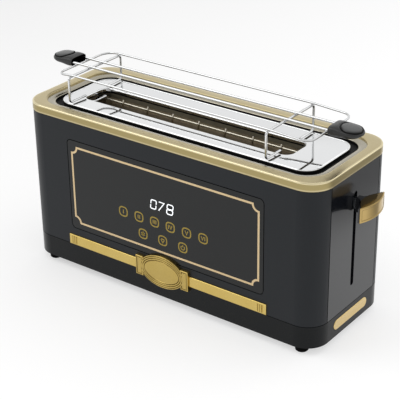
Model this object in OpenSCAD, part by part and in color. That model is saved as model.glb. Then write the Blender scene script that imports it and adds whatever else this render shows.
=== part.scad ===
// Long-slot toaster with a lift-off warming rack, a touch panel and a side lever
// The long side with the panel faces -Y, the lever end faces +X and the feet stand on z = 0

/* [Body] */
// Length of the body along X
body_len = 400; // [380:1:440]
// Depth of the body from front to back
body_dep = 145; // [138:1:170]
// Radius of the four upright corners
corner_r = 26.5; // [18:0.5:32]
// Height of the shells between base and top rim
shell_h = 157; // [155:1:180]
// Wall of the shells and end panels
wall = 2.2; // [1.6:0.1:3]
// Distance from the body's sides to the flat panel in each end
end_panel_side = 24; // [22:0.5:32]
// Gap around panels that are let into the shells
panel_gap = 1; // [0.3:0.1:1.5]
// Overlap of a panel's hidden flange behind the shell
flange_lap = 3; // [2:0.5:5]
// Thickness of that flange
flange_t = 1.5; // [1:0.1:2.5]

/* [Base and feet] */
// Height of the base moulding
base_h = 26.5; // [25:0.5:34]
// Wall and floor of the base moulding
base_wall = 2.5; // [2:0.1:4]
// Height of the rubber feet
foot_h = 9; // [6:0.5:14]
// Diameter of the rubber feet
foot_d = 15.5; // [13:0.5:20]
// Distance from the body's end to a foot's axis
foot_inset_x = 23; // [20:0.5:30]
// Distance from the body's side to a foot's axis
foot_inset_y = 12.5; // [12:0.5:20]
// Thread diameter of the housing and foot screws
screw_d = 3; // [2.5:0.1:4]
// Head diameter of those screws
screw_head_d = 5.6; // [5:0.1:7]
// Distance from the body's ends to the housing screws
screw_inset = 50; // [42:1:64]
// Outer diameter of the cord bushing in the rear wall
gland_d = 13; // [10:0.5:16]
// Bore for the mains cord
gland_bore = 7.2; // [6:0.1:9]
// Distance from the body's far end to the cord bushing
gland_inset = 90; // [70:1:130]
// Height of the shadow line between base and shells
seam_h = 0.7; // [0.4:0.1:1.2]

/* [Top rim and deck] */
// Height of the brass rim
rim_h = 10.5; // [9:0.5:14]
// How far the rim stands out over the shells
rim_over = 0.4; // [0:0.1:1]
// Sheet thickness of the rim
rim_t = 1.5; // [1:0.1:2]
// Width of the rim's upper face
rim_face = 11.5; // [9:0.1:18]
// Width of the rim's lower inner lip
rim_lip = 8.5; // [3:0.5:10]
// Drop from the upper face to the inner lip
rim_step = 2.4; // [0.8:0.1:4]
// Corner radius of the rim's inner opening
rim_open_r = 22; // [8:0.5:24]
// Thickness of the liner plate that carries the deck
liner_t = 3.5; // [2.5:0.1:5]
// Gap between the rim's inner edge and the deck's long sides
deck_gap = 6.9; // [3:0.1:9]
// Gap between the rim's inner edge and the deck's ends
deck_end_gap = 6.2; // [3:0.1:9]
// Height of the deck above the liner
deck_h = 4.3; // [3:0.1:5.5]
// Sheet thickness of the deck
deck_t = 1.2; // [0.8:0.1:1.6]
// Corner radius of the deck
deck_r = 20; // [12:0.5:24]
// Height of the rolled bead round the deck
bead_h = 0.6; // [0.3:0.1:1]
// Width of that bead
bead_w = 2.2; // [1.5:0.1:3]

/* [Toast slot and chamber] */
// Length of the toast slot
slot_len = 285; // [265:1:292]
// Width of the toast slot
slot_w = 40; // [34:0.5:44]
// Share of the body's spare length that lies at the lever end
lever_share = 0.6087; // [0.55:0.0001:0.65]
// Corner radius of the toast slot
slot_r = 10; // [4:0.5:14]
// Depth of the lip turned down round the slot
slot_lip = 5; // [3:0.5:6]
// Room between each slot end and its chamber wall
chamber_over = 4; // [3.5:0.1:6]
// Distance between the two reflectors
chamber_dep = 68; // [62:1:76]
// Sheet thickness of chamber walls and reflectors
sheet = 0.8; // [0.6:0.1:1.5]
// Distance from the body's sides to the chamber end walls
end_wall_side = 20.5; // [18:0.5:26]
// Gap between the end panel and the shelf on the lever side
shelf_gap = 6.3; // [4:0.1:12]
// Distance from the middle to a heater board's inner face
board_y = 25; // [22:0.5:28]
// Thickness of the heater boards
board_t = 1; // [0.8:0.1:1.6]
// Gap between the heater boards and the rim
board_top_gap = 7; // [6:0.5:12]
// Width of the heater ribbon
ribbon_w = 3; // [2:0.5:4]
// Thickness of the heater ribbon
ribbon_t = 0.5; // [0.3:0.1:0.8]
// Runs of ribbon on each heater board
ribbon_runs = 8; // [4:2:10]

/* [Bread guards] */
// Wire diameter of guards and end staple
guard_wire = 2.2; // [1.8:0.1:2.8]
// Distance from the middle to a guard's long wires
guard_y = 15; // [14:0.5:17]
// How far each guard closes in on the bread
guard_close = 7; // [4:0.5:7.5]
// Depth of a guard's top wire below the deck
guard_drop = 12.8; // [11:0.1:16]
// Height of a guard's lower wire above the boards' lower edges
guard_foot = 2; // [1.5:0.1:20]
// Upright wires in each guard
guard_count = 7; // [5:1:8]
// Distance from the slot's ends to the outermost uprights
guard_end = 31.8; // [20:0.1:40]

/* [Lever and carriage] */
// Room under the carriage at full travel
travel_spare = 2.7; // [1:0.1:20]
// Depth of the lever's middle below the rim
lever_drop = 35.5; // [30:0.5:38]
// Height of the lever arm
arm_h = 12; // [8:0.5:14]
// Thickness of the lever arm
arm_t = 4; // [3:0.1:4.5]
// Width of the slot in the end panel
lever_slot_w = 6; // [5.5:0.1:8]
// Spare slot above the arm
slot_spare_top = 7.4; // [2:0.1:10]
// Spare slot below the arm at full travel
slot_spare_low = 12.6; // [2:0.1:14]
// Width of the knob
knob_w = 50; // [36:1:60]
// Height of the knob
knob_h = 17; // [14:0.5:20]
// Reach of the knob's ends from the end panel
knob_reach = 20; // [16:0.5:26]
// Bulge of the knob's outer face
knob_bulge = 6; // [3:0.5:8]
// Thickness of the knob at its ends
knob_end_t = 4; // [3:0.5:6]
// Diameter of the guide rod
rod_d = 6; // [5:0.1:8]
// Place of the guide rod on the shelf, as a share of its reach
rod_share = 0.536; // [0.5:0.001:0.62]
// Depth of the bread support below the deck at rest
support_drop = 75; // [70:1:77]
// Width of the bread support
support_w = 7; // [5:0.5:8]
// Height of the bread support
support_h = 6; // [4:0.5:8]
// Wire diameter of the return spring
spring_wire = 1.3; // [1:0.1:1.6]
// Curls of the return spring
spring_curls = 12; // [8:1:14]

/* [Control panel and trim] */
// Distance from the body's ends to the control panel's opening
panel_side = 64.5; // [55:0.5:80]
// Distance from the shells' upper and lower edges to that opening
panel_edge = 21.5; // [20:0.5:28]
// Height of the panel's middle over the shells' middle
panel_rise = 0.5; // [0:0.1:1.5]
// Corner radius of the panel opening
panel_r = 6; // [3:0.5:10]
// Groove round the control panel
glass_gap = 1; // [0.3:0.1:1.5]
// How far the brass band reaches beyond the panel at each end
band_over = 4; // [0:0.5:10]
// Height of the brass band
band_h = 13; // [10:0.5:15]
// Thickness of the brass band
band_t = 1.6; // [1:0.1:2.4]
// Width of the oval plaque
plaque_w = 62; // [44:1:64]
// Height of the oval plaque
plaque_h = 41; // [30:1:42]
// Thickness of the plaque at its rim
plaque_t = 3.6; // [3:0.1:5]
// Width over the blocks beside the plaque
plaque_block_w = 74; // [66:1:84]
// Height of those blocks
plaque_block_h = 24.5; // [18:0.5:28]
// Height of the display's middle over the panel's middle
display_rise = 8.8; // [4:0.1:14]
// Thickness of the circuit boards
pcb_t = 1.6; // [1:0.1:2]

/* [Crumb tray] */
// Width of the tray's brass pull
pull_w = 68; // [60:1:76]
// Height of the pull
pull_h = 12; // [10:0.5:13]
// Thickness of the pull
pull_t = 3.3; // [2.8:0.1:5]
// Height of the pull's middle above the base's underside
pull_rise = 14; // [13:0.5:17]
// Sheet thickness of the tray
tray_t = 0.8; // [0.6:0.1:1.5]
// Distance from the far chamber wall in to the tray's end
tray_in = 0.5; // [0:0.5:20]

/* [Warming rack] */
// Wire diameter of the rack
rack_wire = 2.8; // [2.4:0.1:3.4]
// Middle of the rack along X
rack_x = -1.5; // [-6:0.5:6]
// Shift of rails and grips against the loop
rail_shift = -1.5; // [-2:0.5:2]
// Distance from the deck's ends to the rack's outer loop
loop_inset = 3.8; // [3:0.1:20]
// Corner radius of the outer loop
loop_r = 12; // [5:0.5:14]
// Height of the rack's rails above the deck
rack_h = 34.5; // [26:0.5:44]
// Distance between the two rails
rail_gap = 20; // [16:0.5:26]
// Distance from the loop's left end to the left leg
leg_left_in = 20; // [16:0.5:30]
// Distance from the loop's right end to the right leg
leg_right_in = 50; // [40:0.5:70]
// Distance from the deck's edge in to the rack's posts
leg_inset = 0; // [0:0.1:6]
// Length of each foot under the rack
leg_foot = 27; // [20:0.5:30]
// Bend radius of the rack wires
bend_r = 5; // [4:0.5:8]
// How far welded wires are set into each other
weld = 0.3; // [0.2:0.05:0.5]
// Distance from the loop's ends to the grips
grip_gap = 5; // [3.5:0.5:10]
// Length of a grip
grip_len = 33.5; // [28:0.5:40]
// Width of a grip
grip_w = 34; // [30:0.5:40]
// Thickness of a grip
grip_t = 12; // [10:0.5:14]
// Shell of a grip
grip_wall = 2; // [1.5:0.1:3]

/* [Hidden] */
$fn = 48;

// Clearances: what moves, what is pushed together and what must only not touch
slide_gap = 0.3;
fit_gap = 0.1;
free_gap = 0.8;
cut = 1;

// Half sizes and levels
hx = body_len / 2;
hy = body_dep / 2;
z_base = foot_h;
z_floor = z_base + base_wall;
z_seam = z_base + base_h;
z_rim = z_seam + shell_h;
z_top = z_rim + rim_h;
z_liner = z_rim + liner_t;
z_deck = z_liner + deck_h;
open_x = hx - rim_face - rim_lip;
open_y = hy - rim_face - rim_lip;
deck_x = open_x - deck_end_gap;
deck_y = open_y - deck_gap;
foot_x = hx - foot_inset_x;
foot_y = hy - foot_inset_y;
end_panel_w = body_dep - 2 * end_panel_side;
seam_in = 0.8;

// Housing screws stand inside the long walls, in bosses that are set into them
lug_wall = 1.5;
lug_d = screw_head_d + 2 * lug_wall;
lug_h = 10;
lug_bite = 0.6;
screw_x = hx - screw_inset;
screw_y = hy - base_wall - lug_d / 2 + lug_bite;
screw_head_h = 2;
screw_sink = 4;
foot_boss_wall = 2;
foot_boss_d = screw_head_d + 2 * foot_boss_wall;
foot_boss_h = 9;
foot_screw_z = 1;
foot_screw_end = 2;
foot_edge = 1;
post_w = 8;
gland_x = gland_inset - hx;
gland_z = z_base + base_h / 2;
gland_flange = 2;
gland_catch = 1.5;
gland_out_d = gland_d + 2 * gland_flange;
gland_in_d = gland_d + 2 * gland_catch;

// Slot, chamber and its contents
slot_x1 = hx - lever_share * (body_len - slot_len);
slot_x0 = slot_x1 - slot_len;
slot_x = (slot_x0 + slot_x1) / 2;
wall_x0 = slot_x0 - chamber_over;
wall_x1 = slot_x1 + chamber_over;
end_wall_dep = body_dep - 2 * end_wall_side;
shelf_reach = hx - wall - flange_t - shelf_gap - wall_x1;
board_rise = 22;
board_z = z_seam + board_rise;
board_h = shell_h - board_rise - board_top_gap;
guard_z = z_deck - guard_drop;
guard_h = guard_z - board_z - guard_foot;
guard_pitch = (slot_len - 2 * guard_end) / (guard_count - 1);
upright_y = guard_y - guard_wire * 0.8;
tip_len = 4.6;
tip_tilt = 25;
staple_z = z_deck - slot_lip - guard_wire / 2 - slide_gap;
staple_reach = 14.5;
staple_w = 20.6;
staple_stub = 4.5;
staple_bend = 3;
staple_root_z = z_rim - guard_wire / 2 - 2 * slide_gap;
tip_taper = 0.9;
guard_stub = 3;
guard_bite = 1;
guard_past = 1.5;
guard_over = sheet + guard_past;
rib_pitch = 6;
rib_h = 2;
rib_t = 1;
rib_drop = 12;
reflector_foot = 12;
ribbon_margin = 8;
ribbon_inset = 9;

// Lever, carriage and what they meet
rod_x = wall_x1 + rod_share * shelf_reach;
z_shelf = z_seam + sheet;
z_flange = z_rim - sheet;
support_z = z_deck - support_drop;
block_wall = 6;
block_w = rod_d + 2 * block_wall;
block_half_h = 12;
lever_z = z_rim - lever_drop;
block_z0 = lever_z - block_half_h;
block_z1 = lever_z + block_half_h;
stem_t = 6;
stem_x = rod_x - block_w / 2 - stem_t;
stem_z0 = support_z - support_h - slide_gap;
lever_travel = stem_z0 - z_shelf - travel_spare;
arm_x0 = rod_x + block_w / 2;
knob_cover = 2;
arm_x1 = hx + knob_reach - knob_end_t - knob_cover;
knob_neck = 7.5;
knob_gap = 2;
knob_wall = 2;
knob_neck_w = arm_t + 2 * knob_wall;
latch_w = 20;
latch_len = 14;
latch_t = 2;
finger_w = 4;
finger_over = 0.8;
finger_drop = 1;
latch_rise = 5;
latch_z = block_z0 + latch_rise;
magnet_gap = 0.4;
magnet_top = latch_z - lever_travel - magnet_gap;
spacer_h = 4;
spacer_d = 5;
pcb_z = z_shelf + spacer_h;
pcb_top = pcb_z + pcb_t;
power_gap = 3;
power_edge = 2;
power_x = wall_x1 + sheet + power_gap;
power_y = power_edge - end_wall_dep / 2;
power_len = shelf_reach - sheet - power_gap - power_edge;
power_dep = end_wall_dep / 2 - block_w / 2 - 3 * power_edge;
relay_len = 18;
relay_w = 8;
relay_h = 15;
capacitor_d = 8;
capacitor_h = 16;
yoke_w = 14;
yoke_t = 2;
coil_d = 13;
pole_d = 8;
pole_h = 3;

// Return spring round the guide rod, with its own gap measured along the curls
spring_d = rod_d + 2 * free_gap + 2 * spring_wire;
spring_r = (spring_d - spring_wire) / 2;
spring_z0 = z_shelf + spring_wire / 2 + slide_gap;
spring_z1 = block_z0 - spring_wire / 2 - slide_gap;
spring_pitch = (spring_z1 - spring_z0) / spring_curls;
spring_path = [for (i = [0 : spring_curls * 8])
    [rod_x + spring_r * cos(45 * i), spring_r * sin(45 * i), spring_z0 + spring_pitch * i / 8]];
spring_gap = min([for (i = [0 : len(spring_path) - 7], j = [i + 6 : min(i + 10, len(spring_path) - 1)])
    norm(spring_path[i] - spring_path[j])]) - spring_wire;

// Control panel stack, from the front face inwards
panel_face = -hy;
flange_face = panel_face + wall;
board_gap = 5;
board_face = flange_face + flange_t + board_gap;
post_d = 7;
panel_w = body_len - 2 * panel_side;
panel_h = shell_h - 2 * panel_edge;
panel_z = z_seam + shell_h / 2 + panel_rise;
pcb_side = 25;
pcb_edge = 14;
pcb_w = panel_w - 2 * pcb_side;
pcb_h = panel_h - 2 * pcb_edge;
display_w = 48;
display_h = 20;
display_z = panel_z + display_rise;
band_len = panel_w + 2 * band_over;
band_z = z_seam + band_h / 2;
band_ribs = 3;
band_rib_w = 1;
band_rib_t = 0.5;
band_rib_pitch = 2.2;
plaque_step = 0.2;
plaque_ring_t = 0.7;
plaque_ring_in = 2.5;
plaque_ring_w = 2;

// Cable between the boards: out of the control board, round the chamber wall, down to the power board
cable_d = 4;
cable_bend = 0.75 * cable_d;
cable_x0 = pcb_w / 2 - 4 * cable_d;
cable_x1 = wall_x1 + 4 * cable_d;
cable_x2 = wall_x1 + 7 * cable_d;
cable_y0 = board_face + pcb_t;
cable_y1 = cable_y0 + cable_d;
cable_y2 = power_y + cable_d;
cable_rise = 13;
cable_turn = 26;
cable_drop = 20;
cable_z = panel_z - pcb_h / 2 + cable_rise;
cable_path = [[cable_x0, cable_y0, cable_z], [cable_x0, cable_y1, cable_z], [cable_x1, cable_y1, cable_z],
    [cable_x1, cable_y1, pcb_z + cable_turn], [cable_x2, cable_y2, pcb_z + cable_drop],
    [cable_x2, cable_y2, pcb_top]];

// Crumb tray
pull_x = hx - base_wall;
pull_z = z_base + pull_rise;
pull_lap = 4.5;
pull_lap_z = 1.2;
tray_w = pull_w - 2 * pull_lap;
tray_h = pull_h - 2 * pull_lap_z;
tray_z = pull_z - tray_h / 2;
runner_w = 3;
guide_w = 2;
runner_in = 5;
runner_y = tray_w / 2 - runner_in;
tray_x0 = wall_x0 + tray_in;

// Warming rack levels
foot_wire_z = z_deck + slide_gap + rack_wire / 2;
rail_z = z_deck + rack_h;
bar_z = rail_z - rack_wire + weld;
loop_len = 2 * (deck_x - loop_inset);
leg_left = loop_len / 2 - leg_left_in;
leg_right = loop_len / 2 - leg_right_in;
grip_in = loop_len / 2 + grip_gap;
leg_y = deck_y - leg_inset;
loop_y = leg_y - rack_wire + weld;
rail_stop = 10;
rail_x = rack_x + rail_shift;
rail_len = 2 * (grip_in + grip_len - rail_stop);
leg_bend = bend_r - 1;
grip_shoulder = 4;
grip_nose_r = grip_w / 2 - grip_shoulder;
grip_nose_sweep = 75;
grip_solid = 20;

// Colours
c_shell = "#2b2d2e";
c_gloss = "#17181a";
c_plastic = "#1c1c1d";
c_rubber = "#111111";
c_brass = "#c3a24f";
c_champagne = "#b9a878";
c_chrome = "#d9dbde";
c_steel = "#8d9094";
c_mica = "#5a4a35";
c_ribbon = "#6e6a64";
c_green = "#2e5a3a";
c_copper = "#7a4a2c";

function half_angle(w, h) = 2 * atan(2 * h / w);
function arc_points(cx, cy, r, a0, a1, n) =
    [for (i = [0 : n]) [cx + r * cos(a0 + (a1 - a0) * i / n), cy + r * sin(a0 + (a1 - a0) * i / n)]];
function ellipse(w, h, n) = [for (i = [0 : n - 1]) [w / 2 * cos(360 * i / n), h / 2 * sin(360 * i / n)]];
function unit(v) = v / norm(v);
function bend_at(a, p, b, r, n) =
    let (u = unit(a - p), v = unit(b - p))
    [for (i = [0 : n]) let (t = i / n) p + (1 - t) * (1 - t) * r * u + t * t * r * v];
function bent(path, r, n) = [
    path[0],
    for (i = [1 : len(path) - 2]) each bend_at(path[i - 1], path[i], path[i + 1], r, n),
    path[len(path) - 1]];
function bent_loop(path, r, n) = [
    for (i = [0 : len(path) - 1])
        each bend_at(path[(i + len(path) - 1) % len(path)], path[i], path[(i + 1) % len(path)], r, n)];
function along(path, i, closed) =
    let (k = len(path))
    let (a = closed ? (i + k - 1) % k : max(i - 1, 0))
    let (b = closed ? (i + 1) % k : min(i + 1, k - 1))
    unit(path[b] - path[a]);

// Round tube swept along a path that never runs along the side vector
module tube(path, d, side, closed = false, sides = 10) {
    k = len(path);
    rings = [for (i = [0 : k - 1])
        let (t = along(path, i, closed), u = unit(cross(t, side)), v = cross(u, t))
        for (j = [0 : sides - 1]) path[i] + d / 2 * (cos(360 * j / sides) * u + sin(360 * j / sides) * v)];
    last = closed ? k - 1 : k - 2;
    skin = [for (i = [0 : last], j = [0 : sides - 1])
        let (a = i * sides, b = ((i + 1) % k) * sides, m = (j + 1) % sides)
        each [[a + j, b + j, b + m], [a + j, b + m, a + m]]];
    caps = closed ? [] : [
        [for (j = [0 : sides - 1]) j],
        [for (j = [sides - 1 : -1 : 0]) (k - 1) * sides + j]];
    polyhedron(rings, concat(skin, caps));
}

module round_rect(w, d, r) {
    square([w - 2 * r, d], center = true);
    square([w, d - 2 * r], center = true);
    for (sx = [-1, 1], sy = [-1, 1]) translate([sx * (w / 2 - r), sy * (d / 2 - r)]) circle(r);
}

module slab(w, d, r, z0, z1) {
    translate([0, 0, z0]) linear_extrude(z1 - z0) round_rect(w, d, r);
}

// Upright ring with the body's corners, given its distances in from the body outline
module band_ring(out, in, in_r, z0, z1) {
    difference() {
        slab(body_len - 2 * out, body_dep - 2 * out, corner_r - out, z0, z1);
        slab(body_len - 2 * in, body_dep - 2 * in, in_r, z0 - cut, z1 + cut);
    }
}

module box(x0, x1, y0, y1, z0, z1) {
    translate([x0, y0, z0]) cube([x1 - x0, y1 - y0, z1 - z0]);
}

// Plate in an XZ plane, drawn as seen from the front
module front_plate(y0, y1, z) {
    translate([0, y1, z]) rotate([90, 0, 0]) linear_extrude(y1 - y0) children();
}

// Plate in a YZ plane, drawn as seen from the lever end
module end_plate(x0, x1, z) {
    translate([x0, 0, z]) rotate([90, 0, 90]) linear_extrude(x1 - x0) children();
}

module bar_x(x0, x1, y, z, d) {
    translate([x0, y, z]) rotate([0, 90, 0]) cylinder(d = d, h = x1 - x0);
}

module at_feet() {
    for (sx = [-1, 1], sy = [-1, 1]) translate([sx * foot_x, sy * foot_y, 0]) children();
}

module at_housing_screws() {
    for (sx = [-1, 1], sy = [-1, 1]) translate([sx * screw_x, sy * screw_y, 0]) children();
}

module screw(z0, length) {
    translate([0, 0, z0]) cylinder(d = screw_head_d, h = screw_head_h);
    translate([0, 0, z0 + screw_head_h]) cylinder(d = screw_d, h = length - screw_head_h);
}

// Base moulding with a shadow line at its seam, bosses, posts for the chamber and runners for the tray
module base() {
    post_y = end_wall_dep / 2 - post_w * 0.75;
    guide_y = tray_w / 2 + slide_gap;
    color(c_plastic) difference() {
        union() {
            band_ring(0, base_wall, corner_r - base_wall, z_base, z_seam - seam_h);
            band_ring(seam_in, base_wall, corner_r - base_wall, z_base, z_seam);
            slab(body_len - base_wall, body_dep - base_wall, corner_r - base_wall / 2, z_base, z_floor);
            at_feet() translate([0, 0, z_base]) cylinder(d = foot_boss_d, h = foot_boss_h);
            at_housing_screws() translate([0, 0, z_base]) cylinder(d = lug_d, h = base_h);
            for (sy = [-1, 1]) {
                translate([0, sy * post_y, 0]) {
                    box(wall_x0 - post_w, wall_x0 + post_w / 2, -post_w / 2, post_w / 2, z_base, z_seam);
                    box(wall_x1 + post_w / 2, wall_x1 + shelf_reach - post_w / 2, -post_w / 2, post_w / 2,
                        z_base, z_seam);
                }
                translate([0, sy * runner_y, 0])
                    box(tray_x0, pull_x, -runner_w / 2, runner_w / 2, z_base, tray_z - slide_gap);
                translate([0, sy * (guide_y + guide_w / 2), 0])
                    box(tray_x0, pull_x, -guide_w / 2, guide_w / 2, z_base, tray_z + tray_h / 2);
            }
        }
        at_feet() translate([0, 0, z_base - cut]) cylinder(d = screw_d, h = foot_boss_h + 2 * cut);
        at_housing_screws() {
            translate([0, 0, z_base - cut]) cylinder(d = screw_d, h = base_h + 2 * cut);
            translate([0, 0, z_base - cut]) cylinder(d = screw_head_d + 2 * fit_gap, h = screw_sink + cut);
        }
        end_plate(pull_x - cut, hx + cut, pull_z)
            round_rect(pull_w + 2 * slide_gap, pull_h + 2 * slide_gap, pull_h / 2 + slide_gap - 0.01);
        translate([gland_x, hy + cut, gland_z]) rotate([90, 0, 0])
            cylinder(d = gland_d, h = base_wall + 2 * cut);
    }
}

// Tapered rubber feet, each with a counterbore for its screw
module feet() {
    color(c_rubber) at_feet() difference() {
        rotate_extrude() polygon([[0, 0], [foot_d / 2 - foot_edge * 1.5, 0],
            [foot_d / 2 - foot_edge / 2, foot_edge], [foot_d / 2, foot_h], [0, foot_h]]);
        translate([0, 0, -cut])
            cylinder(d = screw_head_d + 2 * fit_gap, h = foot_screw_z + screw_head_h + cut);
        cylinder(d = screw_d, h = foot_h + cut);
    }
}

module foot_screws() {
    color(c_steel) at_feet() screw(foot_screw_z, foot_h + foot_boss_h - foot_screw_z - foot_screw_end);
}

module housing_screws() {
    color(c_steel) at_housing_screws() screw(z_base + screw_sink - screw_head_h, base_h + lug_h - screw_sink);
}

// Flanged bushing in the rear wall of the base
module cord_gland() {
    color(c_rubber) translate([gland_x, hy, gland_z]) rotate([90, 0, 0]) difference() {
        union() {
            translate([0, 0, -gland_flange]) cylinder(d = gland_out_d, h = gland_flange);
            cylinder(d = gland_d, h = base_wall);
            translate([0, 0, base_wall]) cylinder(d = gland_in_d, h = gland_flange);
        }
        translate([0, 0, -gland_flange - cut])
            cylinder(d = gland_bore, h = base_wall + 2 * gland_flange + 2 * cut);
    }
}

// Bosses inside a shell that take the housing screws
module shell_lugs(sy) {
    for (sx = [-1, 1]) difference() {
        union() {
            translate([sx * screw_x, sy * screw_y, z_seam]) cylinder(d = lug_d, h = lug_h);
            box(sx * screw_x - lug_d / 2, sx * screw_x + lug_d / 2, min(sy * screw_y, sy * (hy - wall)),
                max(sy * screw_y, sy * (hy - wall)), z_seam, z_seam + lug_h);
        }
        translate([sx * screw_x, sy * screw_y, z_seam - cut]) cylinder(d = screw_d, h = lug_h + 2 * cut);
    }
}

module front_shell() {
    color(c_shell) {
        difference() {
            shell_side(-1);
            front_plate(-hy - cut, -hy + wall + cut, panel_z) round_rect(panel_w, panel_h, panel_r);
        }
        shell_lugs(-1);
    }
}

module rear_shell() {
    color(c_shell) {
        shell_side(1);
        shell_lugs(1);
    }
}

// The part of the wall ring beyond the end panels on one side
module shell_side(sy) {
    intersection() {
        band_ring(0, wall, corner_r - wall, z_seam, z_rim);
        box(-hx - cut, hx + cut, sy > 0 ? end_panel_w / 2 : -hy - cut, sy > 0 ? hy + cut : -end_panel_w / 2,
            z_seam, z_rim);
    }
}

// Flat end panel with a hidden flange behind the shells
module end_panel(sx) {
    w = end_panel_w - 2 * panel_gap;
    h = shell_h;
    mirror([sx < 0 ? 1 : 0, 0, 0]) {
        end_plate(hx - wall, hx, z_seam + h / 2) square([w, h], center = true);
        intersection() {
            end_plate(hx - wall - flange_t, hx - wall, z_seam + h / 2)
                square([end_panel_w + 2 * flange_lap, h], center = true);
            slab(body_len - 2 * wall, body_dep - 2 * wall, corner_r - wall, z_seam, z_rim);
        }
    }
}

module end_panel_right() {
    z0 = lever_z - arm_h / 2 - lever_travel - slot_spare_low;
    z1 = lever_z + arm_h / 2 + slot_spare_top;
    color(c_gloss) difference() {
        end_panel(1);
        end_plate(hx - wall - flange_t - cut, hx + cut, (z0 + z1) / 2)
            round_rect(lever_slot_w, z1 - z0, lever_slot_w / 2 - 0.01);
    }
}

module end_panel_left() {
    color(c_gloss) end_panel(-1);
}

// Stepped rim: outer skirt, upper face, lower inner lip and inner skirt
module top_rim() {
    inner = rim_face + rim_lip;
    step_r = corner_r - rim_face;
    color(c_champagne) {
        band_ring(-rim_over, rim_t - rim_over, corner_r + rim_over - rim_t, z_rim, z_top);
        band_ring(0, rim_face, step_r, z_top - rim_t, z_top);
        band_ring(rim_face - rim_t, rim_face, step_r, z_top - rim_step - rim_t, z_top);
        band_ring(rim_face - rim_t, inner, rim_open_r, z_top - rim_step - rim_t, z_top - rim_step);
        band_ring(inner - rim_t, inner, rim_open_r, z_liner, z_top - rim_step);
    }
}

// Plate that lies on the shells' upper edges inside the rim and carries the deck
module rim_liner() {
    in = rim_t - rim_over + fit_gap;
    lip = deck_t + free_gap;
    color(c_plastic) difference() {
        slab(body_len - 2 * in, body_dep - 2 * in, corner_r - in, z_rim, z_liner);
        translate([slot_x, 0, 0])
            slab(slot_len + 2 * lip, slot_w + 2 * lip, slot_r + lip, z_rim - cut, z_liner + cut);
    }
}

// Deck with a skirt that stands on the liner, a rolled bead and a lip round the slot
module deck_plate() {
    z_flat = z_deck - bead_h;
    z_lip = z_deck - slot_lip;
    color(c_chrome) difference() {
        union() {
            slab(2 * deck_x, 2 * deck_y, deck_r, z_liner, z_flat);
            difference() {
                slab(2 * deck_x, 2 * deck_y, deck_r, z_flat, z_deck);
                slab(2 * (deck_x - bead_w), 2 * (deck_y - bead_w), deck_r - bead_w,
                    z_flat - cut, z_deck + cut);
            }
            translate([slot_x, 0, 0])
                slab(slot_len + 2 * deck_t, slot_w + 2 * deck_t, slot_r + deck_t, z_lip, z_flat);
        }
        translate([slot_x, 0, 0]) slab(slot_len, slot_w, slot_r, z_lip - cut, z_deck + cut);
        difference() {
            slab(2 * (deck_x - deck_t), 2 * (deck_y - deck_t), deck_r - deck_t,
                z_liner - cut, z_flat - deck_t);
            translate([slot_x, 0, 0])
                slab(slot_len + 2 * deck_t, slot_w + 2 * deck_t, slot_r + deck_t, z_lip - cut, z_flat);
        }
    }
}

// Glass touch panel with its hidden flange and posts for the board
module control_panel() {
    color(c_gloss) {
        front_plate(panel_face, flange_face, panel_z)
            round_rect(panel_w - 2 * glass_gap, panel_h - 2 * glass_gap, panel_r - glass_gap);
        front_plate(flange_face, flange_face + flange_t, panel_z)
            round_rect(panel_w + 2 * flange_lap, panel_h + 2 * flange_lap, panel_r);
        for (sx = [-1, 1], sz = [-1, 1])
            translate([sx * (pcb_w / 2 - post_d), board_face, panel_z + sz * (pcb_h / 2 - post_d)])
                rotate([90, 0, 0]) cylinder(d = post_d, h = board_face - flange_face - flange_t);
    }
}

module control_board() {
    color(c_green) front_plate(board_face, board_face + pcb_t, panel_z) square([pcb_w, pcb_h], center = true);
}

module display_module() {
    color(c_plastic) front_plate(flange_face + flange_t, board_face, display_z)
        square([display_w, display_h], center = true);
}

// Brass band along the front seam, with ribs near each end
module front_band() {
    color(c_brass) {
        front_plate(panel_face - band_t, panel_face, band_z) square([band_len, band_h], center = true);
        for (sx = [-1, 1], i = [1 : band_ribs])
            translate([sx * (band_len / 2 - band_rib_pitch * i), 0, 0])
                front_plate(panel_face - band_t - band_rib_t, panel_face - band_t, band_z)
                    square([band_rib_w, band_h - 3 * band_rib_w], center = true);
    }
}

// Bare oval plaque with a block on each side, let over the band
module plaque() {
    ring_out = 2 * plaque_ring_in;
    ring_in = ring_out + 2 * plaque_ring_w;
    color(c_brass) difference() {
        union() {
            front_plate(panel_face - plaque_t, panel_face, band_z)
                polygon(ellipse(plaque_w, plaque_h, 64));
            front_plate(panel_face - plaque_t + plaque_step, panel_face, band_z)
                square([plaque_block_w, plaque_block_h], center = true);
            difference() {
                front_plate(panel_face - plaque_t - plaque_ring_t, panel_face - plaque_t, band_z)
                    polygon(ellipse(plaque_w - ring_out, plaque_h - ring_out, 64));
                front_plate(panel_face - plaque_t - cut, panel_face - plaque_t + cut, band_z)
                    polygon(ellipse(plaque_w - ring_in, plaque_h - ring_in, 64));
            }
        }
        front_plate(panel_face - band_t, panel_face + cut, band_z) square([band_len, band_h], center = true);
    }
}

// Slots in a chamber wall for the ends of both guards
module guard_slots(x0, x1) {
    r = guard_wire / 2 + slide_gap;
    length = guard_close + 2 * r;
    for (sy = [-1, 1], z = [guard_z, guard_z - guard_h])
        translate([0, sy * (guard_y - guard_close / 2), 0])
            end_plate(x0 - cut, x1 + cut, z) round_rect(length, 2 * r, r - 0.01);
}

// Slot in a chamber wall for the bread support's travel
module support_slot(x0, x1) {
    z0 = support_z - support_h - lever_travel - slide_gap;
    z1 = support_z + slide_gap;
    end_plate(x0 - cut, x1 + cut, (z0 + z1) / 2)
        square([support_w + 2 * slide_gap, z1 - z0], center = true);
}

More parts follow.
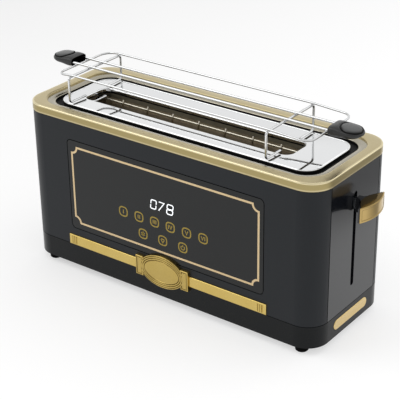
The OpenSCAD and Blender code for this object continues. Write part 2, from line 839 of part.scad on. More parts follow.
module chamber_wall_right() {
    x1 = wall_x1 + sheet;
    half = end_wall_dep / 2;
    color(c_steel) difference() {
        union() {
            box(wall_x1, x1, -half, half, z_seam, z_rim);
            box(wall_x1, wall_x1 + shelf_reach, -half, half, z_seam, z_shelf);
            box(wall_x1, wall_x1 + shelf_reach, -block_w, block_w, z_flange, z_rim);
        }
        guard_slots(wall_x1, x1);
        support_slot(wall_x1, x1);
        translate([rod_x, 0, z_seam - cut]) cylinder(d = rod_d + 2 * fit_gap, h = shell_h + 2 * cut);
    }
}

module chamber_wall_left() {
    half = end_wall_dep / 2;
    x0 = wall_x0 - sheet;
    color(c_steel) difference() {
        union() {
            box(x0, wall_x0, -half, half, z_seam, z_rim);
            for (i = [0 : 2])
                translate([0, 0, staple_z - rib_drop - rib_pitch * i])
                    box(wall_x0, wall_x0 + rib_t, -staple_w / 2, staple_w / 2, -rib_h, 0);
        }
        guard_slots(x0, wall_x0);
        support_slot(x0, wall_x0);
    }
}

// Bright side wall of the chamber with a foot flange turned outwards
module reflector(sy) {
    y0 = chamber_dep / 2;
    mirror([0, sy < 0 ? 1 : 0, 0]) {
        box(wall_x0, wall_x1, y0, y0 + sheet, z_seam, z_rim);
        box(wall_x0, wall_x1, y0, y0 + reflector_foot, z_seam, z_seam + sheet);
    }
}

module reflector_front() {
    color(c_steel) reflector(-1);
}

module reflector_rear() {
    color(c_steel) reflector(1);
}

// Heater board held between the chamber walls
module heater_board(sy) {
    mirror([0, sy < 0 ? 1 : 0, 0])
        box(wall_x0, wall_x1, board_y, board_y + board_t, board_z, board_z + board_h);
}

module heater_board_front() {
    color(c_mica) heater_board(-1);
}

module heater_board_rear() {
    color(c_mica) heater_board(1);
}

// One unbroken ribbon that runs to and fro along the board's inner face
module heater_ribbon(sy) {
    pitch = (board_h - 2 * ribbon_margin) / (ribbon_runs - 1);
    x0 = wall_x0 + ribbon_inset;
    x1 = wall_x1 - ribbon_inset;
    z0 = board_z + ribbon_margin;
    mirror([0, sy < 0 ? 1 : 0, 0]) {
        for (i = [0 : ribbon_runs - 1])
            translate([0, 0, z0 + pitch * i])
                box(x0, x1, board_y - ribbon_t, board_y, -ribbon_w / 2, ribbon_w / 2);
        for (i = [0 : ribbon_runs - 2]) {
            x = i % 2 == 0 ? x1 - ribbon_w : x0;
            box(x, x + ribbon_w, board_y - ribbon_t, board_y, z0 + pitch * i, z0 + pitch * (i + 1));
        }
    }
}

module heater_ribbon_front() {
    color(c_ribbon) heater_ribbon(-1);
}

module heater_ribbon_rear() {
    color(c_ribbon) heater_ribbon(1);
}

// Wire staple that rises from the left chamber wall across the end of the slot
module end_staple() {
    y = staple_w / 2;
    x1 = wall_x0 + staple_reach;
    xs = wall_x0 + staple_stub;
    path = [[wall_x0, -y, staple_root_z], [xs, -y, staple_root_z], [x1, -y, staple_z],
        [x1, y, staple_z], [xs, y, staple_root_z], [wall_x0, y, staple_root_z]];
    color(c_chrome) tube(bent(path, staple_bend, 4), guard_wire, [0, 0, 1]);
}

// Wire guard: two long wires that ride in the chamber walls, and uprights with flared tips
module guard(sy) {
    mirror([0, sy < 0 ? 1 : 0, 0]) {
        for (z = [guard_z, guard_z - guard_h])
            bar_x(wall_x0 - guard_over, wall_x1 + guard_over, guard_y, z, guard_wire);
        for (i = [0 : guard_count - 1])
            translate([slot_x + (i - (guard_count - 1) / 2) * guard_pitch, upright_y, guard_z]) {
                translate([0, 0, -guard_h - guard_stub])
                    cylinder(d = guard_wire, h = guard_h + guard_stub + guard_bite);
                rotate([-tip_tilt, 0, 0]) cylinder(d = guard_wire * tip_taper, h = tip_len);
            }
    }
}

module guard_front() {
    color(c_chrome) guard(-1);
}

module guard_rear() {
    color(c_chrome) guard(1);
}

module guide_rod() {
    color(c_steel) translate([rod_x, 0, z_seam]) cylinder(d = rod_d, h = z_rim - z_seam);
}

// Power board on four spacers over the shelf
module on_power_board(x, y, z) {
    translate([power_x + x, power_y + y, z]) children();
}

module power_board() {
    color(c_green) on_power_board(0, 0, pcb_z) cube([power_len, power_dep, pcb_t]);
}

module board_spacers() {
    color(c_steel) for (x = [spacer_d, power_len - spacer_d], y = [spacer_d, power_dep - spacer_d])
        on_power_board(x, y, z_shelf) cylinder(d = spacer_d, h = spacer_h);
}

module power_relay() {
    color(c_plastic) on_power_board(power_gap, power_edge, pcb_top) cube([relay_len, relay_w, relay_h]);
}

module power_capacitor() {
    color(c_steel) on_power_board(power_gap + capacitor_d / 2, 2 * power_edge + relay_w + capacitor_d / 2, pcb_top)
        cylinder(d = capacitor_d, h = capacitor_h);
}

// Iron core with a wound coil, its pole face just under the latched keeper
module electromagnet() {
    y = -block_w / 2 - latch_w / 2;
    coil_z = pcb_top + yoke_t;
    color(c_copper) translate([rod_x, y, 0]) {
        translate([-yoke_w / 2, -yoke_w / 2, pcb_top]) cube([yoke_w, yoke_w, yoke_t]);
        translate([0, 0, coil_z]) cylinder(d = coil_d, h = magnet_top - pole_h - coil_z);
        translate([0, 0, magnet_top - pole_h]) cylinder(d = pole_d, h = pole_h);
    }
}

// Cable from the control board, past the edge of the chamber wall, to the power board
module panel_cable() {
    color(c_rubber) tube(bent(cable_path, cable_bend, 3), cable_d, [0.6, 0.2, 0.4], sides = 8);
}

module return_spring() {
    echo(return_spring_least_gap = spring_gap);
    color(c_steel) tube(spring_path, spring_wire, [0, 0, 1], sides = 6);
}

// Slider on the guide rod with a stem that carries the bread support
module carriage_bracket() {
    half = block_w / 2;
    color(c_steel) difference() {
        union() {
            box(rod_x - half, rod_x + half, -half, half, block_z0, block_z1);
            box(stem_x, rod_x - half, -support_w / 2, support_w / 2, stem_z0, block_z1);
        }
        translate([rod_x, 0, block_z0 - cut])
            cylinder(d = rod_d + 2 * slide_gap, h = block_z1 - block_z0 + 2 * cut);
    }
}

// Rail under the bread, with short cross fingers between the guard wires
module bread_support() {
    z0 = support_z - support_h;
    color(c_steel) {
        box(wall_x0 - guard_over, stem_x, -support_w / 2, support_w / 2, z0, support_z);
        for (i = [0 : guard_count - 2]) {
            x = slot_x + (i - (guard_count - 2) / 2) * guard_pitch;
            box(x - finger_w / 2, x + finger_w / 2, -support_w / 2 - finger_over, support_w / 2 + finger_over,
                z0 + finger_drop, support_z);
        }
    }
}

module latch_plate() {
    color(c_steel) translate([rod_x, -block_w / 2, latch_z])
        box(-latch_len / 2, latch_len / 2, -latch_w, 0, 0, latch_t);
}

module lever_arm() {
    color(c_steel) box(arm_x0, arm_x1, -arm_t / 2, arm_t / 2, lever_z - arm_h / 2, lever_z + arm_h / 2);
}

// Half-moon knob with a neck, pushed over the end of the arm
module lever_knob() {
    a = half_angle(knob_w, knob_bulge);
    r = knob_w / 2 / sin(a);
    cx = hx + knob_reach + knob_bulge - r;
    back = hx + knob_reach - knob_end_t;
    outline = concat(arc_points(cx, 0, r, -a, a, 24), [[back, knob_w / 2],
        [hx + knob_neck, knob_neck_w / 2], [hx + knob_gap, knob_neck_w / 2],
        [hx + knob_gap, -knob_neck_w / 2], [hx + knob_neck, -knob_neck_w / 2], [back, -knob_w / 2]]);
    color(c_brass) difference() {
        translate([0, 0, lever_z - knob_h / 2]) linear_extrude(knob_h) polygon(outline);
        box(hx, arm_x1, -arm_t / 2, arm_t / 2, lever_z - arm_h / 2, lever_z + arm_h / 2);
    }
}

// Open tray of thin sheet that slides in from the lever end
module crumb_tray() {
    color(c_steel) difference() {
        box(tray_x0, pull_x, -tray_w / 2, tray_w / 2, tray_z, tray_z + tray_h);
        box(tray_x0 + tray_t, pull_x - tray_t, tray_t - tray_w / 2, tray_w / 2 - tray_t,
            tray_z + tray_t, z_seam);
    }
}

module tray_pull() {
    color(c_brass) end_plate(pull_x, pull_x + pull_t, pull_z) round_rect(pull_w, pull_h, pull_h / 2 - 0.01);
}

// Outer loop of the rack: its ends dip under the rails
module rack_loop() {
    x = loop_len / 2;
    y = loop_y;
    xl = rack_x - leg_left;
    xr = rack_x + leg_right;
    path = [[rack_x - x, -y, bar_z], [xl, -y, rail_z], [xr, -y, rail_z], [rack_x + x, -y, bar_z],
        [rack_x + x, y, bar_z], [xr, y, rail_z], [xl, y, rail_z], [rack_x - x, y, bar_z]];
    color(c_chrome) tube(bent_loop(path, loop_r, 6), rack_wire, [0, 0, 1], closed = true);
}

module rack_rail_front() {
    color(c_chrome) bar_x(rail_x - rail_len / 2, rail_x + rail_len / 2, -rail_gap / 2, rail_z, rack_wire);
}

module rack_rail_rear() {
    color(c_chrome) bar_x(rail_x - rail_len / 2, rail_x + rail_len / 2, rail_gap / 2, rail_z, rack_wire);
}

// Bent wire leg: feet that lie on the deck, posts and a bar under the rails
module rack_leg(x) {
    y = leg_y;
    path = [[x, leg_foot - y, foot_wire_z], [x, -y, foot_wire_z], [x, -y, bar_z],
        [x, y, bar_z], [x, y, foot_wire_z], [x, y - leg_foot, foot_wire_z]];
    tube(bent(path, leg_bend, 4), rack_wire, [1, 0, 0]);
}

module rack_leg_left() {
    color(c_chrome) rack_leg(rack_x - leg_left);
}

module rack_leg_right() {
    color(c_chrome) rack_leg(rack_x + leg_right);
}

// Plan of a grip, from its straight inner edge to its round nose
module grip_plan(in) {
    nose = grip_len - grip_nose_r;
    polygon(concat([[in, grip_w / 2 - in], [in, in - grip_w / 2]],
        arc_points(nose, 0, grip_nose_r - in, -grip_nose_sweep, grip_nose_sweep, 16)));
}

// Moulded grip, hollow towards the rack, with sockets for the rails
module rack_grip() {
    depth = grip_len - grip_solid;
    translate([grip_in, 0, rail_z]) difference() {
        translate([0, 0, -grip_t / 2]) linear_extrude(grip_t) grip_plan(0);
        intersection() {
            translate([0, 0, grip_wall - grip_t / 2]) linear_extrude(grip_t - 2 * grip_wall)
                translate([-grip_wall - cut, 0]) grip_plan(grip_wall);
            box(-cut, depth, -grip_w, grip_w, -grip_t, grip_t);
        }
        for (sy = [-1, 1]) bar_x(-cut, grip_len - rail_stop, sy * rail_gap / 2, 0, rack_wire);
    }
}

module rack_grip_left() {
    color(c_plastic) translate([rail_x, 0, 0]) mirror([1, 0, 0]) rack_grip();
}

module rack_grip_right() {
    color(c_plastic) translate([rail_x, 0, 0]) rack_grip();
}

base();
feet();
foot_screws();
housing_screws();
cord_gland();
front_shell();
rear_shell();
end_panel_right();
end_panel_left();
top_rim();
rim_liner();
deck_plate();
control_panel();
control_board();
display_module();
front_band();
plaque();
chamber_wall_right();
chamber_wall_left();
reflector_front();
reflector_rear();
heater_board_front();
heater_board_rear();
heater_ribbon_front();
heater_ribbon_rear();
end_staple();
guard_front();
guard_rear();
guide_rod();
power_board();
board_spacers();
power_relay();
power_capacitor();
electromagnet();
panel_cable();
return_spring();
carriage_bracket();
bread_support();
latch_plate();
lever_arm();
lever_knob();
crumb_tray();
tray_pull();
rack_loop();
rack_rail_front();
rack_rail_rear();
rack_leg_left();
rack_leg_right();
rack_grip_left();
rack_grip_right();
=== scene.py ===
"""Long-slot toaster with a warming rack: its finishes and fine forms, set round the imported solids."""
import math

import bpy
import numpy as np
from mathutils import Matrix


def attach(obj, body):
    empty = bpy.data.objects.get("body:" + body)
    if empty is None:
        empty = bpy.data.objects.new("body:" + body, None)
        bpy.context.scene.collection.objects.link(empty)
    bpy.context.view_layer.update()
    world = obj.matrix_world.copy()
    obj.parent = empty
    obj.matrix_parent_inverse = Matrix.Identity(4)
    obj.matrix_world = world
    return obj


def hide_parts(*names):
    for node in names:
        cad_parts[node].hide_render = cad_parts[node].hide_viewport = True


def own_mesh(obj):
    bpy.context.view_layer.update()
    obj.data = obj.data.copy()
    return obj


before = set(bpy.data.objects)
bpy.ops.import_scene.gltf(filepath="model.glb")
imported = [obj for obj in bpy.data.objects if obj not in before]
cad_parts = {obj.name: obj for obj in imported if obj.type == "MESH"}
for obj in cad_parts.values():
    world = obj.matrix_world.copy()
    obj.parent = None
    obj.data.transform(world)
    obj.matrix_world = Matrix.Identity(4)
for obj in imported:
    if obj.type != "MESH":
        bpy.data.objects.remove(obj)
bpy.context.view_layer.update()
MM = 0.001

# Levels and lines that the pieces share, in mm
HALF_LEN, HALF_DEP = 200.0, 72.5
RIM_Z, TOP_Z = 192.5, 203.0
DECK_X, DECK_Y, DECK_Z, LINER_Z = 173.8, 45.6, 199.7, 196.0
SLOT_X, SLOT_HALF_LEN, SLOT_HALF_W, SLOT_R = -12.5, 142.5, 20.0, 10.0
FACE_Y = -72.5
RAIL_Z, BAR_Z, RAIL_X, WIRE = 234.8, 232.3, -3.0, 2.8
LEG_LEFT, LEG_RIGHT = -151.5, 118.5
LEVER_Z = 157.0

# The photograph's camera: angles in degrees, lengths in mm
AZIMUTH, ELEVATION, ROLL = 37.15, 26.59, -0.87
LENS, SENSOR, DISTANCE = 112.26, 36.0, 1424.92
AIM = [-1.76, 0, 101.76]

# Lamps: name, place in m, edge in m, power in W; and the point they face
LAMPS = (("softbox_left", [-1.3, -1.1, 1.75], 1.5, 11.0),
         ("softbox_right", [1.0, 1.6, 1.25], 1.1, 1.6))
LAMP_AIM = [0, 0, 0.1]

# The span in which most of a noise texture's values lie
NOISE_LOW, NOISE_HIGH = 0.3, 0.7

# Sides of a round wire, unless a piece asks for fewer
WIRE_SIDES = 16


# ---------------------------------------------------------------- camera, light and floor

def set_camera():
    """A camera at the photograph's angle: back is the line of sight, right and up are turned by the roll."""
    azimuth, elevation, roll = np.radians([AZIMUTH, ELEVATION, ROLL])
    back = np.array([math.sin(azimuth) * math.cos(elevation), -math.cos(azimuth) * math.cos(elevation),
                     math.sin(elevation)])
    right = np.cross(-back, [0, 0, 1])
    right /= np.linalg.norm(right)
    up = np.cross(right, -back)
    turned_right = math.cos(roll) * right + math.sin(roll) * up
    turned_up = -math.sin(roll) * right + math.cos(roll) * up
    data = bpy.data.cameras.new("camera")
    data.lens, data.sensor_width, data.clip_end = LENS, SENSOR, 50.0
    camera = bpy.data.objects.new("camera", data)
    bpy.context.scene.collection.objects.link(camera)
    place = np.eye(4)
    place[:3, 0], place[:3, 1], place[:3, 2] = turned_right, turned_up, back
    place[:3, 3] = MM * (np.array(AIM) + DISTANCE * back)
    camera.matrix_world = Matrix(place.tolist())
    bpy.context.scene.camera = camera


def unit(v):
    """Vectors of length one, along the last axis."""
    return v / np.linalg.norm(v, axis=-1, keepdims=True)


def linear(code):
    """An sRGB hex value as linear light: the standard curve, channel by channel."""
    c = np.array([int(code[i:i + 2], 16) for i in (1, 3, 5)]) / 255
    return (*np.where(c <= 0.04045, c / 12.92, ((c + 0.055) / 1.055) ** 2.4).tolist(), 1.0)


def put(tree, kind, inputs=(), **settings):
    """Adds one node with its settings; an input given as (node, output) is linked and any other value is set."""
    node = tree.nodes.new("ShaderNode" + kind)
    for key, value in settings.items():
        setattr(node, key, value)
    for key, value in dict(inputs).items():
        if isinstance(value, tuple) and isinstance(value[0], bpy.types.Node):
            tree.links.new(value[0].outputs[value[1]], node.inputs[key])
        else:
            node.inputs[key].default_value = value
    return node


def set_light():
    """A wide softbox from the front left and a weaker one from the far right, in a studio with a white backdrop,
    a greyer belt above it and a lighter ceiling: the level follows the height of the direction, and falls from back
    to front."""
    world = bpy.data.worlds.new("studio")
    bpy.context.scene.world = world
    world.use_nodes = True
    tree = world.node_tree
    tree.nodes.clear()
    here = put(tree, "TexCoord")
    toward = put(tree, "SeparateXYZ", {0: (here, "Generated")})
    belt = put(tree, "MapRange", {"Value": (toward, "Z"), "From Min": 0.2, "From Max": 0.45, "To Min": 1.0,
                                  "To Max": 0.84})
    ceiling = put(tree, "MapRange", {"Value": (toward, "Z"), "From Min": 0.6, "From Max": 0.9, "To Min": 1.0,
                                     "To Max": 1.08})
    depth = put(tree, "MapRange", {"Value": (toward, "Y"), "From Min": -0.7, "From Max": 0.3, "To Min": 0.72,
                                   "To Max": 1.0})
    strength = put(tree, "Math", {0: (belt, 0), 1: (ceiling, 0)}, operation="MULTIPLY")
    strength = put(tree, "Math", {0: (strength, 0), 1: (depth, 0)}, operation="MULTIPLY")
    sky = put(tree, "Background", {"Color": linear("#fdfdfd"), "Strength": (strength, 0)})
    put(tree, "OutputWorld", {"Surface": (sky, 0)})
    for name, spot, size, power in LAMPS:
        lamp = bpy.data.lights.new(name, "AREA")
        lamp.shape, lamp.size, lamp.energy = "SQUARE", size, power
        box = bpy.data.objects.new(name, lamp)
        bpy.context.scene.collection.objects.link(box)
        back = unit(np.array(spot) - LAMP_AIM)
        side = unit(np.cross([0, 0, 1], back))
        place = np.eye(4)
        place[:3, 0], place[:3, 1], place[:3, 2], place[:3, 3] = side, np.cross(back, side), back, spot
        box.matrix_world = Matrix(place.tolist())


def set_floor():
    """A plain pale floor that takes the shadow. The camera and shiny faces see it lifted towards white, less so to
    the left; in the far corner beyond the lever end, shiny faces see it as it is lit."""
    reach = 6
    mesh = bpy.data.meshes.new("floor")
    mesh.from_pydata([(-reach, -reach, 0), (reach, -reach, 0), (reach, reach, 0), (-reach, reach, 0)], [],
                     [(0, 1, 2, 3)])
    floor = bpy.data.objects.new("floor", mesh)
    bpy.context.scene.collection.objects.link(floor)
    paper = bpy.data.materials.new("studio_paper_matt")
    paper.use_nodes = True
    tree = paper.node_tree
    tree.nodes.clear()
    here = put(tree, "TexCoord")
    cloud = put(tree, "TexNoise", {"Vector": (here, "Object"), "Scale": 0.8, "Detail": 1.0})
    tint = put(tree, "Mix", {0: (cloud, 0), 6: linear("#c2c2c2"), 7: linear("#c5c5c5")}, data_type="RGBA")
    skin = put(tree, "BsdfDiffuse", {"Color": (tint, 2)})
    spot = put(tree, "SeparateXYZ", {0: (here, "Object")})
    fade = put(tree, "MapRange", {"Value": (spot, "X"), "From Min": -1.0, "From Max": 0.2, "To Min": 0.385,
                                  "To Max": 0.58})
    far_x = put(tree, "MapRange", {"Value": (spot, "X"), "From Min": 0.31, "From Max": 0.36})
    far_y = put(tree, "MapRange", {"Value": (spot, "Y"), "From Min": 0.1, "From Max": 0.25})
    corner = put(tree, "Math", {0: (far_x, 0), 1: (far_y, 0)}, operation="MULTIPLY")
    rest = put(tree, "Math", {0: 1.0, 1: (corner, 0)}, operation="SUBTRACT")
    ray = put(tree, "LightPath")
    shiny = put(tree, "Math", {0: (ray, "Is Glossy Ray"), 1: (ray, "Is Transmission Ray")}, operation="MAXIMUM")
    shiny = put(tree, "Math", {0: (shiny, 0), 1: (rest, 0)}, operation="MULTIPLY")
    seen = put(tree, "Math", {0: (ray, "Is Camera Ray"), 1: (shiny, 0)}, operation="MAXIMUM")
    lift = put(tree, "Math", {0: (seen, 0), 1: (fade, 0)}, operation="MULTIPLY")
    glow = put(tree, "Emission", {"Color": linear("#ffffff"), "Strength": (lift, 0)})
    both = put(tree, "AddShader", {0: (skin, 0), 1: (glow, 0)})
    put(tree, "OutputMaterial", {"Surface": (both, 0)})
    mesh.materials.append(paper)


# ---------------------------------------------------------------- finishes

def surface(name, low, high, patch, rough, grain, relief, metallic=0.0, stretch=(1, 1, 1), painted_shade=None, **sockets):
    """A finish on two scales. Soft patches, patch mm across, carry the colour from low to high; a grain, grain mm
    across, carries the roughness from rough[0] to rough[1] and stands relief mm high. Stretch multiplies the
    grain's count along X, Y and Z, so a small value draws it out into lines. Where the mesh's attribute for painted
    shade rises to 1, the colour goes over to the darker colour of the painted shade. Sockets are uniform values of
    the shader."""
    made = bpy.data.materials.new(name)
    made.use_nodes = True
    tree = made.node_tree
    tree.nodes.clear()
    here = put(tree, "TexCoord")
    drawn = put(tree, "Mapping", {"Vector": (here, "Object"), "Scale": stretch})
    cloud = put(tree, "TexNoise", {"Vector": (here, "Object"), "Scale": 1 / (patch * MM), "Detail": 3.0})
    fleck = put(tree, "TexNoise", {"Vector": (drawn, "Vector"), "Scale": 1 / (grain * MM), "Detail": 2.0})
    tint = put(tree, "Mix", {0: (cloud, 0), 6: linear(low), 7: linear(high)}, data_type="RGBA")
    if painted_shade:
        hollow = put(tree, "Attribute", attribute_name="recess")
        tint = put(tree, "Mix", {0: (hollow, "Fac"), 6: (tint, 2), 7: linear(painted_shade)}, data_type="RGBA")
    gloss = put(tree, "MapRange", {"Value": (fleck, 0), "From Min": NOISE_LOW, "From Max": NOISE_HIGH,
                                   "To Min": rough[0], "To Max": rough[1]})
    height = put(tree, "Bump", {"Height": (fleck, 0), "Distance": relief * MM, "Strength": 1.0})
    skin = put(tree, "BsdfPrincipled", {"Base Color": (tint, 2), "Roughness": (gloss, 0), "Normal": (height, 0),
                                        "Metallic": metallic,
                                        **{key.replace("_", " "): value for key, value in sockets.items()}})
    put(tree, "OutputMaterial", {"Surface": (skin, 0)})
    return made


# Powder-coated steel: charcoal, with a fine orange peel that breaks up the reflections
SHELL = surface("powder_coated_steel_satin", "#11161b", "#161a1f", 60, (0.38, 0.48), 1.2, 0.004, IOR=1.37)
# Black ABS, polished mould: deep and glossy, with faint smears
GLOSS = surface("black_abs_polished", "#14161a", "#191b20", 45, (0.12, 0.17), 14.0, 0.003, IOR=1.58)
# Tinted toughened glass over charcoal print: an even, dark sheet with a soft mirror
GLASS = surface("tinted_glass_polished", "#151718", "#1a1c1c", 70, (0.14, 0.20), 18.0, 0.002, IOR=1.385)
# Black ABS, half-gloss mould: smoother than the shells, with a faint pebble
MOULDED = surface("black_abs_half_gloss", "#0a0d0f", "#0f1214", 40, (0.20, 0.28), 1.6, 0.002, IOR=1.29)
# Near-black matt plastic of the liner, and painted shade on the rim's inner wall, the deck's skirt and the grip
# grooves
BLACK_AND_SHADE = surface("black_plastic_and_painted_shade", "#040404", "#070707", 20, (0.55, 0.70), 0.8, 0.010, IOR=1.3)
# Glass-filled nylon for the grips: charcoal with a soft sheen; the thumb pad keeps this colour, while the body is
# painted near black as shade, and the groove and the mouth black as shade
NYLON = surface("charcoal_nylon_moulded", "#545555", "#5e5f5f", 9, (0.26, 0.34), 0.7, 0.006, painted_shade="#020202",
                IOR=1.43)
# Black rubber, moulded: matt and even
RUBBER = surface("black_rubber_moulded", "#050505", "#090909", 5, (0.65, 0.80), 0.5, 0.015, IOR=1.15)
# Brass-plated zinc, polished and lacquered: warm yellow with a soft mirror; the brown in the hollows is painted shade
BRASS = surface("brass_plate_polished", "#cbaf61", "#d7be74", 22, (0.18, 0.28), 0.6, 0.001, 1.0, painted_shade="#4a3512")
# The same plate under the touch of fingers: smoother, and a little darker; its dark brown on the knob's top and in
# the groove inside the face's border is painted shade
BRASS_KNOB = surface("brass_plate_burnished", "#b1975f", "#bea46d", 14, (0.10, 0.16), 0.5, 0.001, 1.0,
                     painted_shade="#6c5829")
# Pale gold plate on the tray's pull: lighter than the brass
PALE_GOLD = surface("pale_gold_plate_polished", "#d6bb82", "#e0c892", 16, (0.22, 0.30), 0.6, 0.001, 1.0)
# Champagne plate, buffed: greyish gold on the top; the skirt is painted darker and yellower, a painted shade on the
# upright side
CHAMPAGNE = surface("champagne_plate_buffed", "#c3b48a", "#cdc09a", 30, (0.30, 0.34), 0.9, 0.0, 1.0, (0.03, 0.3, 1),
                    painted_shade="#a6976a")
# The same plate on the lip, left as it comes from the press: greyer, with a clearer mirror
CHAMPAGNE_LIP = surface("champagne_plate_pressed", "#aaa494", "#b5af9f", 24, (0.16, 0.21), 1.1, 0.0, 1.0)
# The same plate on the outer edge, painted pale: a painted highlight along the edge
CHAMPAGNE_HIGHLIGHT = surface("champagne_plate_painted_highlight", "#e0d2a8", "#e9ddb8", 18, (0.16, 0.24), 0.8, 0.0, 1.0)
# Chromed steel sheet, buffed: a near mirror
CHROME_SHEET = surface("chromed_sheet_buffed", "#f0f1f2", "#f7f8f8", 50, (0.02, 0.05), 26.0, 0.0, 1.0)
# Chromed wire, drawn: bright, with fine lines along it, and painted darker underneath: a painted shade on the
# underside
CHROME_WIRE = surface("chromed_wire_drawn", "#dbdcdd", "#e5e6e6", 12, (0.12, 0.20), 0.5, 0.001, 1.0, (0.08, 1, 1),
                      painted_shade="#45423d")
# Nickel-plated wire of the guards: a bright line in the slot, a little yellowed by heat
NICKEL_WIRE = surface("nickel_wire_heat_stained", "#cbc4b2", "#e4ded0", 9, (0.18, 0.30), 0.5, 0.001, 1.0,
                      (0.08, 1, 1))
# Aluminised steel sheet inside the chamber: grey spangle, dulled by heat
SHEET = surface("aluminised_sheet_rolled", "#8a857b", "#aaa79f", 11, (0.30, 0.46), 1.5, 0.006, 1.0)
# The same sheet as a reflector behind the heaters: browned by heat and quite matt
SHEET_BROWNED = surface("aluminised_sheet_heat_browned", "#ada48b", "#c9bfa5", 9, (0.50, 0.62), 1.5, 0.006, IOR=1.4)
# Zinc-plated steel of the mechanism: cool grey with a faint tumble finish
ZINC = surface("zinc_plated_steel", "#8d9196", "#a5a8ab", 8, (0.26, 0.40), 0.7, 0.006, 1.0)
# Mica board: layered brown flakes with a greasy sheen
MICA = surface("mica_board_pressed", "#85795f", "#b4a68a", 7, (0.38, 0.62), 1.8, 0.04, IOR=1.58)
# Nickel-chrome ribbon: pale straw, dulled by heat
RIBBON = surface("nichrome_ribbon_rolled", "#d2c6b2", "#e8ddcc", 18, (0.45, 0.60), 0.6, 0.004, 1.0)
# Glass-epoxy board with green solder mask: a fine weave under a thin gloss
BOARD = surface("epoxy_board_masked", "#123d24", "#1b5230", 5, (0.28, 0.40), 0.5, 0.01)
# Enamelled copper wire of the coil: dark orange, with turns that show as lines
COIL = surface("enamelled_copper_wound", "#7d3a1a", "#a1542a", 4, (0.28, 0.42), 0.5, 0.05, 0.9, (0.1, 0.1, 1))
# PVC sleeve of the capacitor: dark blue-grey shrink film
SLEEVE = surface("pvc_sleeve_shrunk", "#1c222b", "#28303b", 4, (0.30, 0.42), 0.8, 0.01)
# Screen print in gold ink: pale peach, with the small specks of a metallic ink
GOLD_INK = surface("gold_ink_printed", "#f8d7a0", "#ffe5b8", 6, (0.34, 0.46), 0.4, 0.0)
# Screen print in bronze ink for the keys: dull olive
BRONZE_INK = surface("bronze_ink_printed", "#a38b30", "#b89f42", 5, (0.40, 0.52), 0.4, 0.0)
# Lit segments behind the glass: white, with faint cooler patches
SEGMENTS = surface("lit_segments_white", "#e8eef2", "#ffffff", 3, (0.4, 0.5), 0.6, 0.0,
                   Emission_Color=linear("#f4f8fb"), Emission_Strength=0.8)


def dress(finish, *names):
    """Gives solids of the frame a finish."""
    for name in names:
        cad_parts[name].data.materials.clear()
        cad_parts[name].data.materials.append(finish)


# ---------------------------------------------------------------- forms

def outward(points, faces):
    """Turns a closed mesh so that its faces point outwards: if the volume under its faces is negative, all turn."""
    volume = sum(float(np.einsum("ij,ij->", points[f[:, 0]], np.cross(points[f[:, k]], points[f[:, k + 1]])))
                 for f in faces for k in range(1, f.shape[1] - 1))
    return faces if volume > 0 else [f[:, ::-1] for f in faces]


def loft(rings, closed=False):
    """A skin over rings of points, rings[i, j]: row i joins row i + 1, and each ring is closed. A closed loft joins
    its last ring to its first; an open one gets a flat face over each end ring."""
    rows, count = rings.shape[:2]
    i, j = np.meshgrid(np.arange(rows if closed else rows - 1), np.arange(count), indexing="ij")
    below, above, turn = i * count, (i + 1) % rows * count, (j + 1) % count
    faces = [np.stack([below + j, below + turn, above + turn, above + j], -1).reshape(-1, 4)]
    if not closed:
        last = (rows - 1) * count + np.arange(count)
        faces += [np.arange(count)[None, ::-1], last[None, :]]
    points = rings.reshape(-1, 3)
    return points, outward(points, faces)


def plate(front, back):
    """A closed plate between two grids of points of the same shape: both faces and a wall along the four edges."""
    rows, count = front.shape[:2]
    index = np.arange(rows * count).reshape(rows, count)
    quads = np.stack([index[:-1, :-1], index[1:, :-1], index[1:, 1:], index[:-1, 1:]], -1).reshape(-1, 4)
    edge = np.concatenate([index[0, :-1], index[:-1, -1], index[-1, :0:-1], index[:0:-1, 0]])
    after = np.roll(edge, -1)
    wall = np.stack([edge, after, after + rows * count, edge + rows * count], -1)
    points = np.concatenate([front.reshape(-1, 3), back.reshape(-1, 3)])
    return points, outward(points, [quads, quads[:, ::-1] + rows * count, wall])


def joined(parts):
    """Several meshes as one: points after points, and faces counted on."""
    starts = np.cumsum([0] + [len(points) for points, _ in parts[:-1]])
    return (np.concatenate([points for points, _ in parts]),
            [f + start for start, (_, faces) in zip(starts, parts) for f in faces])


def piece(name, shape, finish, body="housing", stands_for=(), recess=None):
    """Puts a mesh, in mm, into the scene: smooth except along edges sharper than the crease, in degrees. The
    painted-shade argument, one value per point, says how far the colour of the painted shade shows there."""
    crease = 32
    points, faces = shape
    mesh = bpy.data.meshes.new(name)
    mesh.from_pydata((points * MM).tolist(), [], [row for f in faces for row in f.tolist()])
    mesh.shade_smooth()
    mesh.set_sharp_from_angle(angle=math.radians(crease))
    if recess is not None:
        held = mesh.attributes.new("recess", "FLOAT", "POINT")
        held.data.foreach_set("value", np.asarray(recess, np.float32).ravel())
    mesh.materials.append(finish)
    made = bpy.data.objects.new(name, mesh)
    bpy.context.scene.collection.objects.link(made)
    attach(made, body)
    if stands_for:
        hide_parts(*stands_for)
    return made


def rounded(half_x, half_y, radius, turns, along=0):
    """A rounded rectangle, anticlockwise: four quarter circles, and along extra points on each straight side."""
    angle = np.linspace(0, np.pi / 2, turns + 1)[None, :] + np.arange(4)[:, None] * np.pi / 2
    middle = np.array([[1, 1], [-1, 1], [-1, -1], [1, -1]]) * [half_x - radius, half_y - radius]
    arcs = middle[:, None, :] + radius * np.stack([np.cos(angle), np.sin(angle)], -1)
    t = np.linspace(0, 1, along + 2)[1:-1][None, :, None]
    sides = arcs[:, -1:, :] * (1 - t) + np.roll(arcs, -1, 0)[:, :1, :] * t
    return np.concatenate([arcs, sides], 1).reshape(-1, 2)


def bow(centre, radius, start, end, steps):
    """An arc in a profile: points round centre from angle start to angle end, in degrees."""
    angle = np.radians(np.linspace(start, end, steps + 1))
    return np.stack([centre[0] + radius * np.cos(angle), centre[1] + radius * np.sin(angle)], -1)


def level(flat, z):
    """Points of a plan at height z."""
    return np.concatenate([flat, np.full((len(flat), 1), z)], 1)


